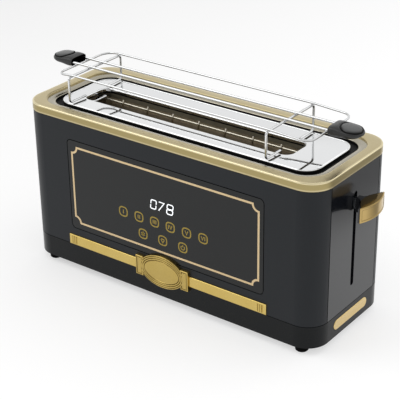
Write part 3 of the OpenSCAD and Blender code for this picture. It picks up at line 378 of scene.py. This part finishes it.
def bent(path, radius, closed=False):
    """A path of straight legs whose corners are arcs: the centre lies on the corner's bisector, and the arc turns
    from the foot of its radius on one leg to the foot on the other."""
    steps = 8
    path = np.asarray(path, float)
    legs = path if closed else path[1:-1]
    to_last = unit((np.roll(path, 1, 0) if closed else path[:-2]) - legs)
    to_next = unit((np.roll(path, -1, 0) if closed else path[2:]) - legs)
    half = np.arccos(np.sum(to_last * to_next, 1)) / 2
    centre = legs + unit(to_last + to_next) * (radius / np.sin(half))[:, None]
    foot = (radius / np.tan(half))[:, None]
    first, last = (legs + to_last * foot - centre)[:, None, :], (legs + to_next * foot - centre)[:, None, :]
    turn, t = (np.pi - 2 * half)[:, None, None], np.linspace(0, 1, steps + 1)[None, :, None]
    curve = centre[:, None, :] + (np.sin((1 - t) * turn) * first + np.sin(t * turn) * last) / np.sin(turn)
    curve = curve.reshape(-1, 3)
    return curve if closed else np.concatenate([path[:1], curve, path[-1:]])


def wire(path, diameter, side, closed=False, sides=WIRE_SIDES):
    """A round wire: a circle carried along the path, square to it; side is a direction the path never runs in.
    An open wire ends in two small chamfers, 0.12 of its diameter long."""
    chamfer, tip = 0.12, 0.78
    if not closed:
        lead = unit(np.stack([path[1] - path[0], path[-2] - path[-1]])) * diameter * chamfer
        path = np.concatenate([path[:1], path[:1] + lead[:1], path[1:-1], path[-1:] + lead[1:], path[-1:]])
    along = np.roll(path, -1, 0) - np.roll(path, 1, 0) if closed else np.gradient(path, axis=0)
    along = unit(along)
    across = unit(np.cross(along, side))
    over = np.cross(across, along)
    angle = np.linspace(0, 2 * np.pi, sides, endpoint=False)[None, :, None]
    radius = np.full((len(path), 1, 1), diameter / 2)
    if not closed:
        radius[[0, -1]] *= tip
    rings = path[:, None, :] + radius * (np.cos(angle) * across[:, None, :] + np.sin(angle) * over[:, None, :])
    return loft(rings, closed)


def underside_shade(shape):
    """How far each point of a wire lies on its underside, which takes the painted shade: from 0 at the level of its
    axis to 1 at 0.3 of the radius below it."""
    full = 0.3
    rings = shape[0].reshape(-1, WIRE_SIDES, 3)
    arm = rings.mean(1, keepdims=True) - rings
    return np.clip(arm[..., 2] / np.linalg.norm(arm, axis=-1) / full, 0, 1)


def rolled(t):
    """A rounded edge: a quarter circle that rises from 0 at t = 0 to 1 at t = 1."""
    return np.sqrt(np.clip(1 - (1 - np.clip(t, 0, 1)) ** 2, 0, 1))


def mitres(path, closed, least):
    """For each point of a plan, the step along the mitre of its two legs that moves both of them to the left by one;
    a larger least keeps the step shorter at sharp corners."""
    ahead, behind = np.roll(path, -1, 0) - path, path - np.roll(path, 1, 0)
    if not closed:
        ahead[-1], behind[0] = behind[-1], ahead[0]
    first, second = unit(behind)[:, ::-1] * [-1, 1], unit(ahead)[:, ::-1] * [-1, 1]
    mitre = first + second
    return mitre / np.maximum(np.sum(mitre * second, 1, keepdims=True), least)


def drawn_in(flat, depth):
    """A closed plan, drawn anticlockwise, moved inwards by depth."""
    return flat + mitres(flat, True, 0.6) * depth


def line(path, width, closed=False):
    """A printed line on the panel, given as (x, z): each point moves to both sides along its mitre, and the strip
    stands a hair proud of the glass."""
    proud, sunk = 0.06, 0.02
    path = np.asarray(path, float)
    aside = mitres(path, closed, 0.5) * width / 2
    a, b = path + aside, path - aside
    flat = np.stack([a, b, b, a], 1)
    depth = np.broadcast_to(np.array([-proud, -proud, sunk, sunk]) + FACE_Y, flat.shape[:2])
    return loft(np.stack([flat[..., 0], depth, flat[..., 1]], -1), closed)


def ring_line(x, z, radius, width):
    """A printed ring between a circle and a square: a superellipse."""
    steps, power = 48, 2.8
    angle = np.linspace(0, 2 * np.pi, steps, endpoint=False)
    circle = np.stack([np.cos(angle), np.sin(angle)], -1)
    flat = np.sign(circle) * np.abs(circle) ** (2 / power)
    return line(flat * radius + [x, z], width, True)


# ---------------------------------------------------------------- the toaster's pieces

def top_rim():
    """The rim's section, points of inset and height, carried round the body: a skirt with a chamfered foot, its
    upright face painted darker as shade, a rounded outer edge under a strip painted pale as a highlight, an upper
    face with a low crown towards the outside and a step down. A lip in a greyer finish lies inside the step and rolls
    over at its inner edge as a quarter ellipse, and a black wall, painted shade for the gap, goes on from it down to
    the liner. The corner radius falls over the outer edge, rises to 28 mm at the step and falls again across the lip."""
    lip_z = TOP_Z - 2.4
    edge_at, edge_radius, highlight_radius = (0.9, TOP_Z - 1.75), 1.3, 1.34
    insets, radii = [-0.4, 3, 11, 13, 20], [26.9, 23.5, 28, 28, 22]
    turns, along = 20, 3
    foot = [[0.2, RIM_Z], [-0.4, RIM_Z + 0.7], [-0.4, RIM_Z + 1.8], [-0.4, RIM_Z + 2.6], [-0.4, RIM_Z + 5]]
    crown = [*bow(edge_at, edge_radius, 180, 80, 8), [2.6, TOP_Z - 0.26], [4.2, TOP_Z - 0.08], [5.6, TOP_Z - 0.02]]
    step = [[7.6, TOP_Z - 0.03], *bow((10.1, TOP_Z - 1.45), 1.4, 90, 0, 8), [11.5, lip_z - 0.8]]
    under = [[10.3, lip_z - 0.8], [9.4, TOP_Z - 2.0], [1.3, TOP_Z - 2.2], [1.1, RIM_Z]]
    section = np.array([list(p) for p in foot + crown + step + under])
    roll = bow((0, 0), 1, 90, 0, 9) * [6.2, 1.9] + [13.8, lip_z - 1.9]
    lip = np.array([[11.45, lip_z - 1.0], [11.45, lip_z], [12.6, lip_z], [13.4, lip_z], *roll, [20.0, lip_z - 2.6],
                    [18.6, lip_z - 2.6]])
    wall = np.array([[19.9, LINER_Z], [19.9, lip_z - 2.5], [18.9, lip_z - 2.5], [18.9, LINER_Z]])

    def carried(section):
        """Each point of the section as a rounded rectangle at its inset and height."""
        plans = [rounded(HALF_LEN - i, HALF_DEP - i, np.interp(i, insets, radii), turns, along) for i, _ in section]
        return loft(np.stack([level(plan, z) for plan, (_, z) in zip(plans, section)]), True)

    inset, z = section.T
    # Painted shade: the upright skirt, up to the outer edge, takes the darker, yellower colour, and the foot a tenth
    # of it
    below = np.clip((TOP_Z - 1.3 - z) / 0.4, 0, 1) * np.clip((z - RIM_Z - 1.8) / 0.8, 0.1, 1)
    skirt = np.clip((0.9 - inset) / 0.5, 0, 1) * below
    piece("top_rim_stepped", carried(section), CHAMPAGNE, stands_for=["top_rim"],
          recess=np.repeat(skirt, 4 * (turns + 1 + along)))
    piece("top_rim_lip", carried(lip), CHAMPAGNE_LIP)
    # A thin shell just over the outer edge in the pale finish: a painted highlight
    edge = np.array([[0, TOP_Z - 2.1], [-0.44, TOP_Z - 2.1], *bow(edge_at, highlight_radius, 180, 80, 8),
                     [1.6, TOP_Z - 0.36], [1.6, TOP_Z - 0.8], [0.9, TOP_Z - 1.0]])
    piece("top_rim_painted_highlight", carried(edge), CHAMPAGNE_HIGHLIGHT)
    # A black wall inside the lip: painted shade for the gap down to the liner
    piece("top_rim_inner_wall_painted_shade", carried(wall), BLACK_AND_SHADE)


def deck_plate():
    """The deck as rings from its edge to the slot: a rolled bead, a face that falls 0.53 mm to the slot, a rolled
    edge there, its turned-down lip, and the sheet's underside back to the bead. Its skirt below the bead is a black
    wall: painted shade for the gap round the deck."""
    count = dict(turns=14, along=7)
    corner, sheet, low = 20, 1.3, DECK_Z - 0.53
    bead_foot, skirt_top, lip_end = 198.4, 198.5, 195.3

    def outer(inset, z):
        """A ring inside the deck's edge."""
        return level(rounded(DECK_X - inset, DECK_Y - inset, corner - inset, **count), z)

    def inner(out, z):
        """A ring outside the slot's edge."""
        flat = rounded(SLOT_HALF_LEN + out, SLOT_HALF_W + out, SLOT_R + out, **count)
        return level(flat + [SLOT_X, 0], z)

    groove_shade = [[0.3, bead_foot], *bow((0.8, DECK_Z - 0.2), 0.8, 200, 0, 12),
            *bow((2.0, DECK_Z - 0.3), 0.4, 225, 270, 2)]
    lip = [*bow((1.5, low - 1.5), 1.5, 90, 180, 6), [0, lip_end], [1.2, lip_end], [1.2, low - sheet]]
    rows = [outer(i, z) for i, z in groove_shade]
    start, end = outer(2.6, DECK_Z), inner(2.2, low)
    t = np.linspace(0, 1, 9)
    rows += [start * (1 - s) + end * s for s in t]
    rows += [inner(o, z) for o, z in lip]
    rows += [outer(1.4, DECK_Z - sheet)]
    piece("deck_plate_pressed", loft(np.stack(rows), True), CHROME_SHEET, stands_for=["deck_plate"])
    # The deck's skirt in black: painted shade for the gap round the deck
    skirt = [outer(0.3, LINER_Z), outer(0.3, skirt_top), outer(1.3, skirt_top), outer(1.3, LINER_Z)]
    piece("deck_plate_skirt_painted_shade", loft(np.stack(skirt), True), BLACK_AND_SHADE)


def rack():
    """Loop, rails and legs as drawn wires along their bent paths, with painted shade underneath, and a flat weld bead
    where two wires meet."""
    left, right, side, post, foot = -171.5, 168.5, 43.1, 45.6, 18.6
    foot_z, loop_wire, loop_bend, leg_bend, rail_half, rail_y = 202, 2.4, 12, 4, 198.5, 10
    rails = (("front", -rail_y), ("rear", rail_y))
    loop = [[left, -side, BAR_Z], [LEG_LEFT, -side, RAIL_Z], [LEG_RIGHT, -side, RAIL_Z], [right, -side, BAR_Z],
            [right, side, BAR_Z], [LEG_RIGHT, side, RAIL_Z], [LEG_LEFT, side, RAIL_Z], [left, side, BAR_Z]]
    shape = wire(bent(loop, loop_bend, True), loop_wire, [0, 0, 1], True)
    piece("rack_loop_wire", shape, CHROME_WIRE, "rack", ["rack_loop"], recess=underside_shade(shape))
    for name, y in rails:
        path = np.array([[x, y, RAIL_Z] for x in np.linspace(RAIL_X - rail_half, RAIL_X + rail_half, 5)])
        shape = wire(path, WIRE, [0, 0, 1])
        piece(f"rack_rail_{name}_wire", shape, CHROME_WIRE, "rack", [f"rack_rail_{name}"],
              recess=underside_shade(shape))
    for name, x in (("left", LEG_LEFT), ("right", LEG_RIGHT)):
        path = [[x, -foot, foot_z], [x, -post, foot_z], [x, -post, BAR_Z], [x, post, BAR_Z], [x, post, foot_z],
                [x, foot, foot_z]]
        shape = wire(bent(path, leg_bend), WIRE, [1, 0, 0])
        piece(f"rack_leg_{name}_wire", shape, CHROME_WIRE, "rack", [f"rack_leg_{name}"],
              recess=underside_shade(shape))
    angle, height = np.meshgrid(np.linspace(0, 2 * np.pi, 12, endpoint=False), np.linspace(-1, 1, 7)[1:-1])
    girth = np.sqrt(1 - height ** 2)
    groove_shade = np.stack([girth * np.cos(angle), girth * np.sin(angle), height], -1) * [2.1, 1.7, 0.8]
    bead_z = (RAIL_Z + BAR_Z) / 2
    spots = [[x, y, bead_z] for x in (LEG_LEFT, LEG_RIGHT) for y in (-side - 0.4, -rail_y, rail_y, side + 0.4)]
    spots += [[x, y, bead_z] for x in (left, right) for _, y in rails]
    piece("rack_weld_beads", joined([loft(groove_shade + spot) for spot in spots]), CHROME_WIRE, "rack")


def grip(name, sign):
    """A hollow grip as sections across its length: each is a superellipse whose half width follows the plan, drawn
    in a little and then round the nose, and whose half height rises from the mouth and falls towards the nose. The
    mouth turns in to a pocket, painted black as shade. On the top a thumb pad is raised inside an oval groove, with a
    black bead in it as painted shade; the body round the pad is painted darker as shade."""
    length, start, wide, tall, mouth_x = 34.4, -1, 17, 6.0, 175
    nose_x, nose_radius = 20.1, 13.4
    pad_x, pad_long, pad_wide, pad_rise = 20.0, 11.6, 11.4, 0.5
    groove_width, groove_depth, bead_wire, bead_sink = 0.13, 0.8, 1.5, 0.35
    full_top, full_bottom, body_shade = 1.4, 2.0, 0.75
    rows, count = 96, 160

    def half_width(x):
        """The narrower of a straight taper and the nose's circle, drawn in by 2 % at the mouth."""
        nose = np.sqrt(np.maximum(nose_radius ** 2 - np.maximum(x - nose_x, 0) ** 2, 0.01))
        return np.minimum(wide - 0.16 * x, nose) * (1 - 0.02 * np.maximum(1 - x / 3.2, 0) ** 2)

    def half_height(x):
        """Lower by 16 % at the mouth, full behind it, and falling ever faster to the nose."""
        fall = np.maximum(1 - np.maximum(x / 33.6 - 0.35, 0) ** 2.4 / 0.65 ** 2.4, 0.02) ** 0.55
        return fall * tall * (1 - 0.16 * np.maximum(1 - x / 8, 0) ** 2)

    def fullness(x, side):
        """The superellipse's power: squarer at the mouth, 2.4 from 14 mm on."""
        return 2.4 + side * np.maximum(1 - x / 14, 0)

    x = length * np.sin(np.linspace(0, 1, rows) * np.pi / 2) ** 0.9 + start
    angle = np.linspace(0, 2 * np.pi, count, endpoint=False)[None, :]
    power = 2 / fullness(x[:, None], np.where(np.sin(angle) > 0, full_top, full_bottom))
    across = np.sign(np.cos(angle)) * np.abs(np.cos(angle)) ** power
    over = np.sign(np.sin(angle)) * np.abs(np.sin(angle)) ** power
    rings = np.stack([np.broadcast_to(x[:, None], (rows, count)), half_width(x)[:, None] * across,
                      half_height(x)[:, None] * over], -1)
    reach = np.hypot((rings[..., 0] - pad_x) / pad_long, rings[..., 1] / pad_wide)
    above = np.clip((over - 0.4) / 0.25, 0, 1)
    hollow = np.exp(-((reach - 1.0) / groove_width) ** 2) * above
    pad = np.clip((1.0 - reach) / 0.08, 0, 1) * above
    rings[..., 2] += pad_rise * pad - groove_depth * hollow
    mouth = rings[0]
    # Depth, and shares of the mouth's width and height, from the pocket's end out to its rim
    inside = [[13.5, 0.90, 0.78], [13.0, 0.92, 0.82], [4.0, 0.925, 0.83], [-0.4, 0.93, 0.84], [-1.0, 0.955, 0.89]]
    pocket = np.stack([np.stack([np.full(count, depth), mouth[:, 1] * w, mouth[:, 2] * h], -1)
                       for depth, w, h in inside])
    # Painted shade: black in the pocket and the groove, and three quarters of the way to black on the body outside
    # the pad
    dark = np.concatenate([np.full((len(inside), count), 1.0), np.maximum(hollow, body_shade - body_shade * pad)])
    place = [RAIL_X + sign * mouth_x, 0, RAIL_Z]
    piece(f"rack_grip_{name}_moulded", loft(np.concatenate([pocket, rings]) * [sign, 1, 1] + place), NYLON,
          "rack", [f"rack_grip_{name}"], recess=dark)
    # The bead: a black wire in the groove, standing in for its shade
    turn = np.linspace(0, 2 * np.pi, 72, endpoint=False)
    bead_x, bead_y = pad_x + pad_long * np.cos(turn), pad_wide * np.sin(turn)
    full = fullness(bead_x, full_top)
    bead_z = half_height(bead_x) * (1 - np.minimum(np.abs(bead_y) / half_width(bead_x), 1) ** full) ** (1 / full)
    path = np.stack([bead_x, bead_y, bead_z - bead_sink], -1) * [sign, 1, 1] + place
    piece(f"rack_grip_{name}_bead", wire(path, bead_wire, [0, 0, 1], True, 10), BLACK_AND_SHADE, "rack")


def lever_knob():
    """A half-moon in plan. Its core and neck are black, with rounded edges; a brass plate follows the convex face,
    with a raised border and painted shade in the groove inside it, and a flat brass plate lies on the top, painted
    dark brown all over as shade."""
    front_x, half_len, bulge = 226, 25, 6
    core_low, core_high, lid_high, face_half = LEVER_Z - 7.7, LEVER_Z + 7.2, LEVER_Z + 7.8, 8.4
    soft, face_soft, border, sunk = 0.8, 0.7, 2.0, 0.45
    core_in, lid_in, face_in = 1.4, 0.5, 1.5
    half = 2 * math.atan(bulge / half_len)
    radius = half_len / math.sin(half)
    middle = front_x - radius
    a = np.linspace(-half * 0.98, half * 0.98, 41)
    arc = np.stack([np.cos(a), np.sin(a)], -1)
    back = np.array([[217.0, 24.4], [214.4, 16.0], [210.5, 8.5], [207.0, 4.6], [202.0, 4.0]])
    plan = np.concatenate([[middle, 0] + (radius - core_in) * arc, back, back[::-1] * [1, -1]])
    profile = np.concatenate([bow((soft, core_low), soft, 270, 180, 5), bow((soft, core_high), soft, 180, 90, 5)])
    core = loft(np.stack([level(drawn_in(plan, d), z) for d, z in profile]))
    piece("lever_knob_core", core, GLOSS, "carriage", ["lever_knob"])
    lid = np.concatenate([[middle, 0] + (radius - lid_in) * arc * [1, 0.96], back[1:3], [[209.5, 0.0]],
                          back[2:0:-1] * [1, -1]])
    section = [[0, core_high], *bow((face_soft, lid_high), face_soft, 180, 90, 4)]
    top = loft(np.stack([level(drawn_in(lid, d), z) for d, z in section]))
    # The top plate is wholly in the darker brown: painted shade
    piece("lever_knob_top", top, BRASS_KNOB, "carriage", recess=np.ones(len(section) * len(lid)))
    span = half * 0.99
    u, v = np.meshgrid(np.linspace(-span, span, 101), np.linspace(-face_half, face_half, 53), indexing="ij")
    edge = np.minimum((span - np.abs(u)) * radius, face_half - np.abs(v))
    rise = -face_soft + face_soft * rolled(edge / face_soft)
    rise -= sunk * np.clip((edge - border) / 0.5, 0, 1)
    # Painted shade in the groove inside the face's border
    hollow = 0.45 * np.exp(-((edge - border - 0.5) / 0.4) ** 2)

    def at(h):
        """The face's grid at height h over its cylinder."""
        return np.stack([middle + (radius + h) * np.cos(u), (radius + h) * np.sin(u), LEVER_Z + v], -1)

    piece("lever_knob_face", plate(at(rise), at(np.full_like(u, -face_in))), BRASS_KNOB, "carriage",
          recess=np.concatenate([hollow.ravel(), np.zeros(u.size)]))


def plaque():
    """An oval plaque as rings drawn in from its edge: a rounded edge, three raised ovals, each with a narrow groove
    inside it, and a plain low dome. A block stands on each side, with a border and an upright ridge."""
    half_x, half_z, mid_z, count = 31, 19.8, 42.6, 128
    thick, edge_rise, ovals, pitch, groove_width, groove_depth = 3.0, 0.9, 7.2, 2.3, 0.34, 0.75
    block_in, block_out, block_mid, block_half, block_thick = 26.6, 37, 42, 12.25, 3.1
    border, ridge_x = 1.8, 31.6
    d = np.concatenate([np.linspace(0, 7.6, 96), np.linspace(8.2, 19.4, 12)])
    groove = np.exp(-((np.mod(d - 0.6, pitch) - pitch / 2) / groove_width) ** 2) * (d < ovals)
    high = thick + edge_rise * rolled(d / 1.5) - groove_depth * groove
    high -= 0.5 * np.clip((d - 6.9) / 0.6, 0, 1) * (1 - np.clip((d - 8) / 12, 0, 1) ** 0.6)
    a = np.linspace(0, 2 * np.pi, count, endpoint=False)
    inward, turn = np.meshgrid(d, a, indexing="ij")
    rise = np.broadcast_to(high[:, None], inward.shape)
    rings = np.stack([(half_x - inward) * np.cos(turn), FACE_Y - rise, mid_z + (half_z - inward) * np.sin(turn)], -1)
    rings = np.concatenate([rings[:1] * [1, 0, 1] + [0, FACE_Y, 0], rings])
    painted_shade = np.concatenate([np.zeros((1, count)), np.broadcast_to(groove[:, None], inward.shape)])
    x, z = np.meshgrid(np.linspace(block_in, block_out, 120),
                       np.linspace(block_mid - block_half, block_mid + block_half, 90), indexing="ij")
    edge = np.minimum(np.minimum(block_out - x, x - block_in), block_half - np.abs(z - block_mid))
    ridge = np.exp(-((x - ridge_x) / 0.8) ** 2) * np.clip((edge - 1.6) / 0.4, 0, 1)
    dip = np.exp(-((edge - border) / 0.45) ** 2)
    front = block_thick + edge_rise * rolled(edge / 1.3) + 0.2 * ridge - 0.5 * dip
    front -= 0.25 * (edge > border) * (1 - ridge)
    dark = np.concatenate([dip.ravel(), np.zeros(x.size)])

    def block(sign):
        """The block on one side, from its relief back to the shell."""
        return plate(np.stack([sign * x, FACE_Y - front, z], -1),
                     np.stack([sign * x, np.full_like(x, FACE_Y), z], -1))

    # Painted shade in the plaque's grooves and in the dip round each block's border; a fifth of the brown lies all
    # over as its tone
    piece("plaque_cast", joined([loft(rings), block(1), block(-1)]), BRASS, stands_for=["plaque"],
          recess=0.2 + 0.8 * np.concatenate([painted_shade.ravel(), dark, dark]))


def front_band():
    """A bar over the seam as a height over (x, z): rounded at its edges, with three upright hollows between ridges
    near each end."""
    half_len, half_high, mid_z, soft = 139.5, 6.4, 42, 1.3
    thick, edge_rise, ridge_rise = 0.7, 0.9, 0.4
    first, last, pitch, rib_half = 3.9, 11.7, 2.6, 5.0
    ends = np.linspace(0, 14.5, 110)
    x = np.concatenate([ends - half_len, np.linspace(-124.5, 124.5, 40), half_len - ends[::-1]])
    x, z = np.meshgrid(x, np.linspace(mid_z - half_high, mid_z + half_high, 41), indexing="ij")
    inward, aside = half_len - np.abs(x), np.abs(z - mid_z)
    ribbed = (inward > first) * (inward < last) * np.clip((rib_half - aside) * 2, 0, 1)
    ridge = np.clip(1.6 * np.cos((inward - first) / pitch * 2 * np.pi), -1, 1) * ribbed
    rise = thick + edge_rise * rolled(np.minimum(inward, half_high - aside) / soft) + ridge_rise * ridge
    front = np.stack([x, FACE_Y - rise, z], -1)
    back = np.stack([x, np.full_like(x, FACE_Y), z], -1)
    # Painted shade in the hollows between the ridges
    piece("front_band_bar", plate(front, back), BRASS, stands_for=["front_band"],
          recess=np.concatenate([0.55 * np.clip(-ridge, 0, 1).ravel(), np.zeros(x.size)]))


def tray_pull():
    """A pill on the end of the base: stadium rings drawn in round a soft edge to a slightly dished face."""
    half_long, half_high, corner, mid_z = 34, 6, 5.98, 23
    section = [[0, 197.5], [0, 199.6], *bow((1.2, 199.6), 1.2, 180, 90, 6), [2.2, 200.75], [3.4, 200.6],
               [4.6, 200.5]]
    rings = []
    for inset, x in section:
        flat = rounded(half_long - inset, half_high - inset, corner - inset, 12)
        rings.append(np.stack([np.full(len(flat), x), flat[:, 0], mid_z + flat[:, 1]], -1))
    piece("tray_pull_pill", loft(np.stack(rings)), PALE_GOLD, "tray", ["tray_pull"])


def inner_wires():
    """Staple, return spring and panel cable, each a round section carried along the path that its solid has."""
    staple = [[-159, -10.3, 190.8], [-154.5, -10.3, 190.8], [-144.5, -10.3, 193.9], [-144.5, 10.3, 193.9],
              [-154.5, 10.3, 190.8], [-159, 10.3, 190.8]]
    staple_wire, spring_wire, cable_wire, bend = 2.2, 1.3, 4, 3
    piece("end_staple_wire", wire(bent(staple, bend), staple_wire, [0, 0, 1]), CHROME_WIRE,
          stands_for=["end_staple"])
    turns, steps, axis_x, coil_radius, spring_foot, spring_tall = 12, 28, 164.016, 4.45, 37.25, 106.8
    turn = np.linspace(0, turns * 2 * np.pi, turns * steps + 1)
    helix = np.stack([axis_x + coil_radius * np.cos(turn), coil_radius * np.sin(turn),
                      spring_foot + spring_tall * turn / turn[-1]], -1)
    spring = piece("return_spring_coil", wire(helix, spring_wire, [0, 0, 1], sides=12), ZINC,
                   stands_for=["return_spring"])
    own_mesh(spring)
    cable = [[94.5, -62.2, 84.5], [94.5, -58.2, 84.5], [150, -58.2, 84.5], [150, -58.2, 66.3], [162, -46, 60.3],
             [162, -46, 41.9]]
    piece("panel_cable_round", wire(bent(cable, bend), cable_wire, [0.6, 0.2, 0.4]), RUBBER,
          stands_for=["panel_cable"])


def panel_print():
    """What is printed on the glass: a frame line with a hollow quarter circle at each corner, rings with numerals
    and plain icons in them; and the lit figures of the display."""
    half_x, low, high, notch, frame_pen = 128.5, 66.6, 162.8, 7.5, 2.4
    ring_radius, ring_pen, mark_pen = 5.6, 1.6, 1.2
    mid = (low + high) / 2
    quarter = bow((half_x, high), notch, 270, 180, 12) - [0, mid]
    corners = np.concatenate([quarter, quarter[::-1] * [-1, 1], quarter * [-1, -1], quarter[::-1] * [1, -1]])
    piece("panel_frame_line", line(corners + [0, mid], frame_pen, True), GOLD_INK)
    keys, up = [], 2.4

    def bar(x):
        """An upright stroke of a numeral."""
        return [[x, -up], [x, up]]

    # Each mark's strokes, by the mark's place along the panel
    numerals = {
        -55.1: [bar(0)],
        -32.5: [bar(-1.1), bar(1.1)],
        -10.3: [bar(-2), bar(0), bar(2)],
        11.7: [bar(-2.4), [[-0.9, up], [0.8, -up], [2.5, up]]],
        34.1: [[[-1.9, up], [0, -up], [1.9, up]]],
        56.5: [[[-2.6, up], [-0.9, -up], [0.8, up]], bar(2.4)],
    }
    icons = {
        -27.4: [[[3 * math.cos(t), 3 * math.sin(t)], [-3 * math.cos(t), -3 * math.sin(t)]]
                for t in np.radians([90, 30, 150])],
        0.5: [[[-2.4, 1.8], [2.4, 1.8]], [[-2.4, 1.0], [0, -2.6], [2.4, 1.0]]],
        28.5: [[[0, 0.6], [0, 3.2]], bow((0, -0.2), 2.5, 130, 410, 18)],
    }
    for row, marks in ((101.7, numerals), (81.7, icons)):
        for x, strokes in marks.items():
            keys.append(ring_line(x, row, ring_radius, ring_pen))
            keys += [line(np.asarray(s) + [x, row], mark_pen) for s in strokes]
    piece("touch_key_print", joined(keys), BRONZE_INK)

    def slanted(points):
        """Upright figures leant to the right by an eighth of their height."""
        return np.asarray(points) @ np.array([[1, 0], [0.125, 1]])

    tall, wide, cut, pen, figure_z = 12.0, 7.4, 1.3, 1.2, 123.3
    w, h = wide / 2, tall / 2
    side = np.array([[-w, 0.7], [-w, h - cut], [cut - w, h], [w - cut, h], [w, h - cut], [w, 0.7]])
    zero = [side * [1, 0.9], side * [1, -0.9]]
    seven = [[[-w, 0.9 * h], [w, 0.9 * h], [-3.0, -0.9 * h]]]
    eight = [np.array([[cut - w, 0], [-w, cut], [-w, h - cut], [cut - w, h], [w - cut, h], [w, h - cut], [w, cut],
                       [w - cut, 0], [cut - w, 0]]) * [1.1, flip] for flip in (1, -1)]
    figures = [line(slanted(stroke) + [x, figure_z], pen)
               for x, strokes in ((-11, zero), (-0.2, seven), (11.9, eight)) for stroke in strokes]
    piece("display_figures", joined(figures), SEGMENTS)


# ---------------------------------------------------------------- putting it together

set_camera()
set_light()
set_floor()

# The solids that show; each of the others has a piece below that stands for it
dress(SHELL, "front_shell", "rear_shell")
dress(GLOSS, "end_panel_right", "end_panel_left")
dress(GLASS, "control_panel")
dress(MOULDED, "base", "display_module", "power_relay")
dress(BLACK_AND_SHADE, "rim_liner")
dress(RUBBER, "feet", "cord_gland")
dress(NICKEL_WIRE, "guard_front", "guard_rear")
dress(SHEET, "chamber_wall_right", "chamber_wall_left", "crumb_tray")
dress(SHEET_BROWNED, "reflector_front", "reflector_rear")
dress(ZINC, "foot_screws", "housing_screws", "guide_rod", "board_spacers", "carriage_bracket", "bread_support",
      "latch_plate", "lever_arm")
dress(MICA, "heater_board_front", "heater_board_rear")
dress(RIBBON, "heater_ribbon_front", "heater_ribbon_rear")
dress(BOARD, "control_board", "power_board")
dress(COIL, "electromagnet")
dress(SLEEVE, "power_capacitor")

top_rim()
deck_plate()
rack()
grip("right", 1)
grip("left", -1)
lever_knob()
plaque()
front_band()
tray_pull()
inner_wires()
panel_print()

bpy.context.scene.view_settings.view_transform = "Standard"
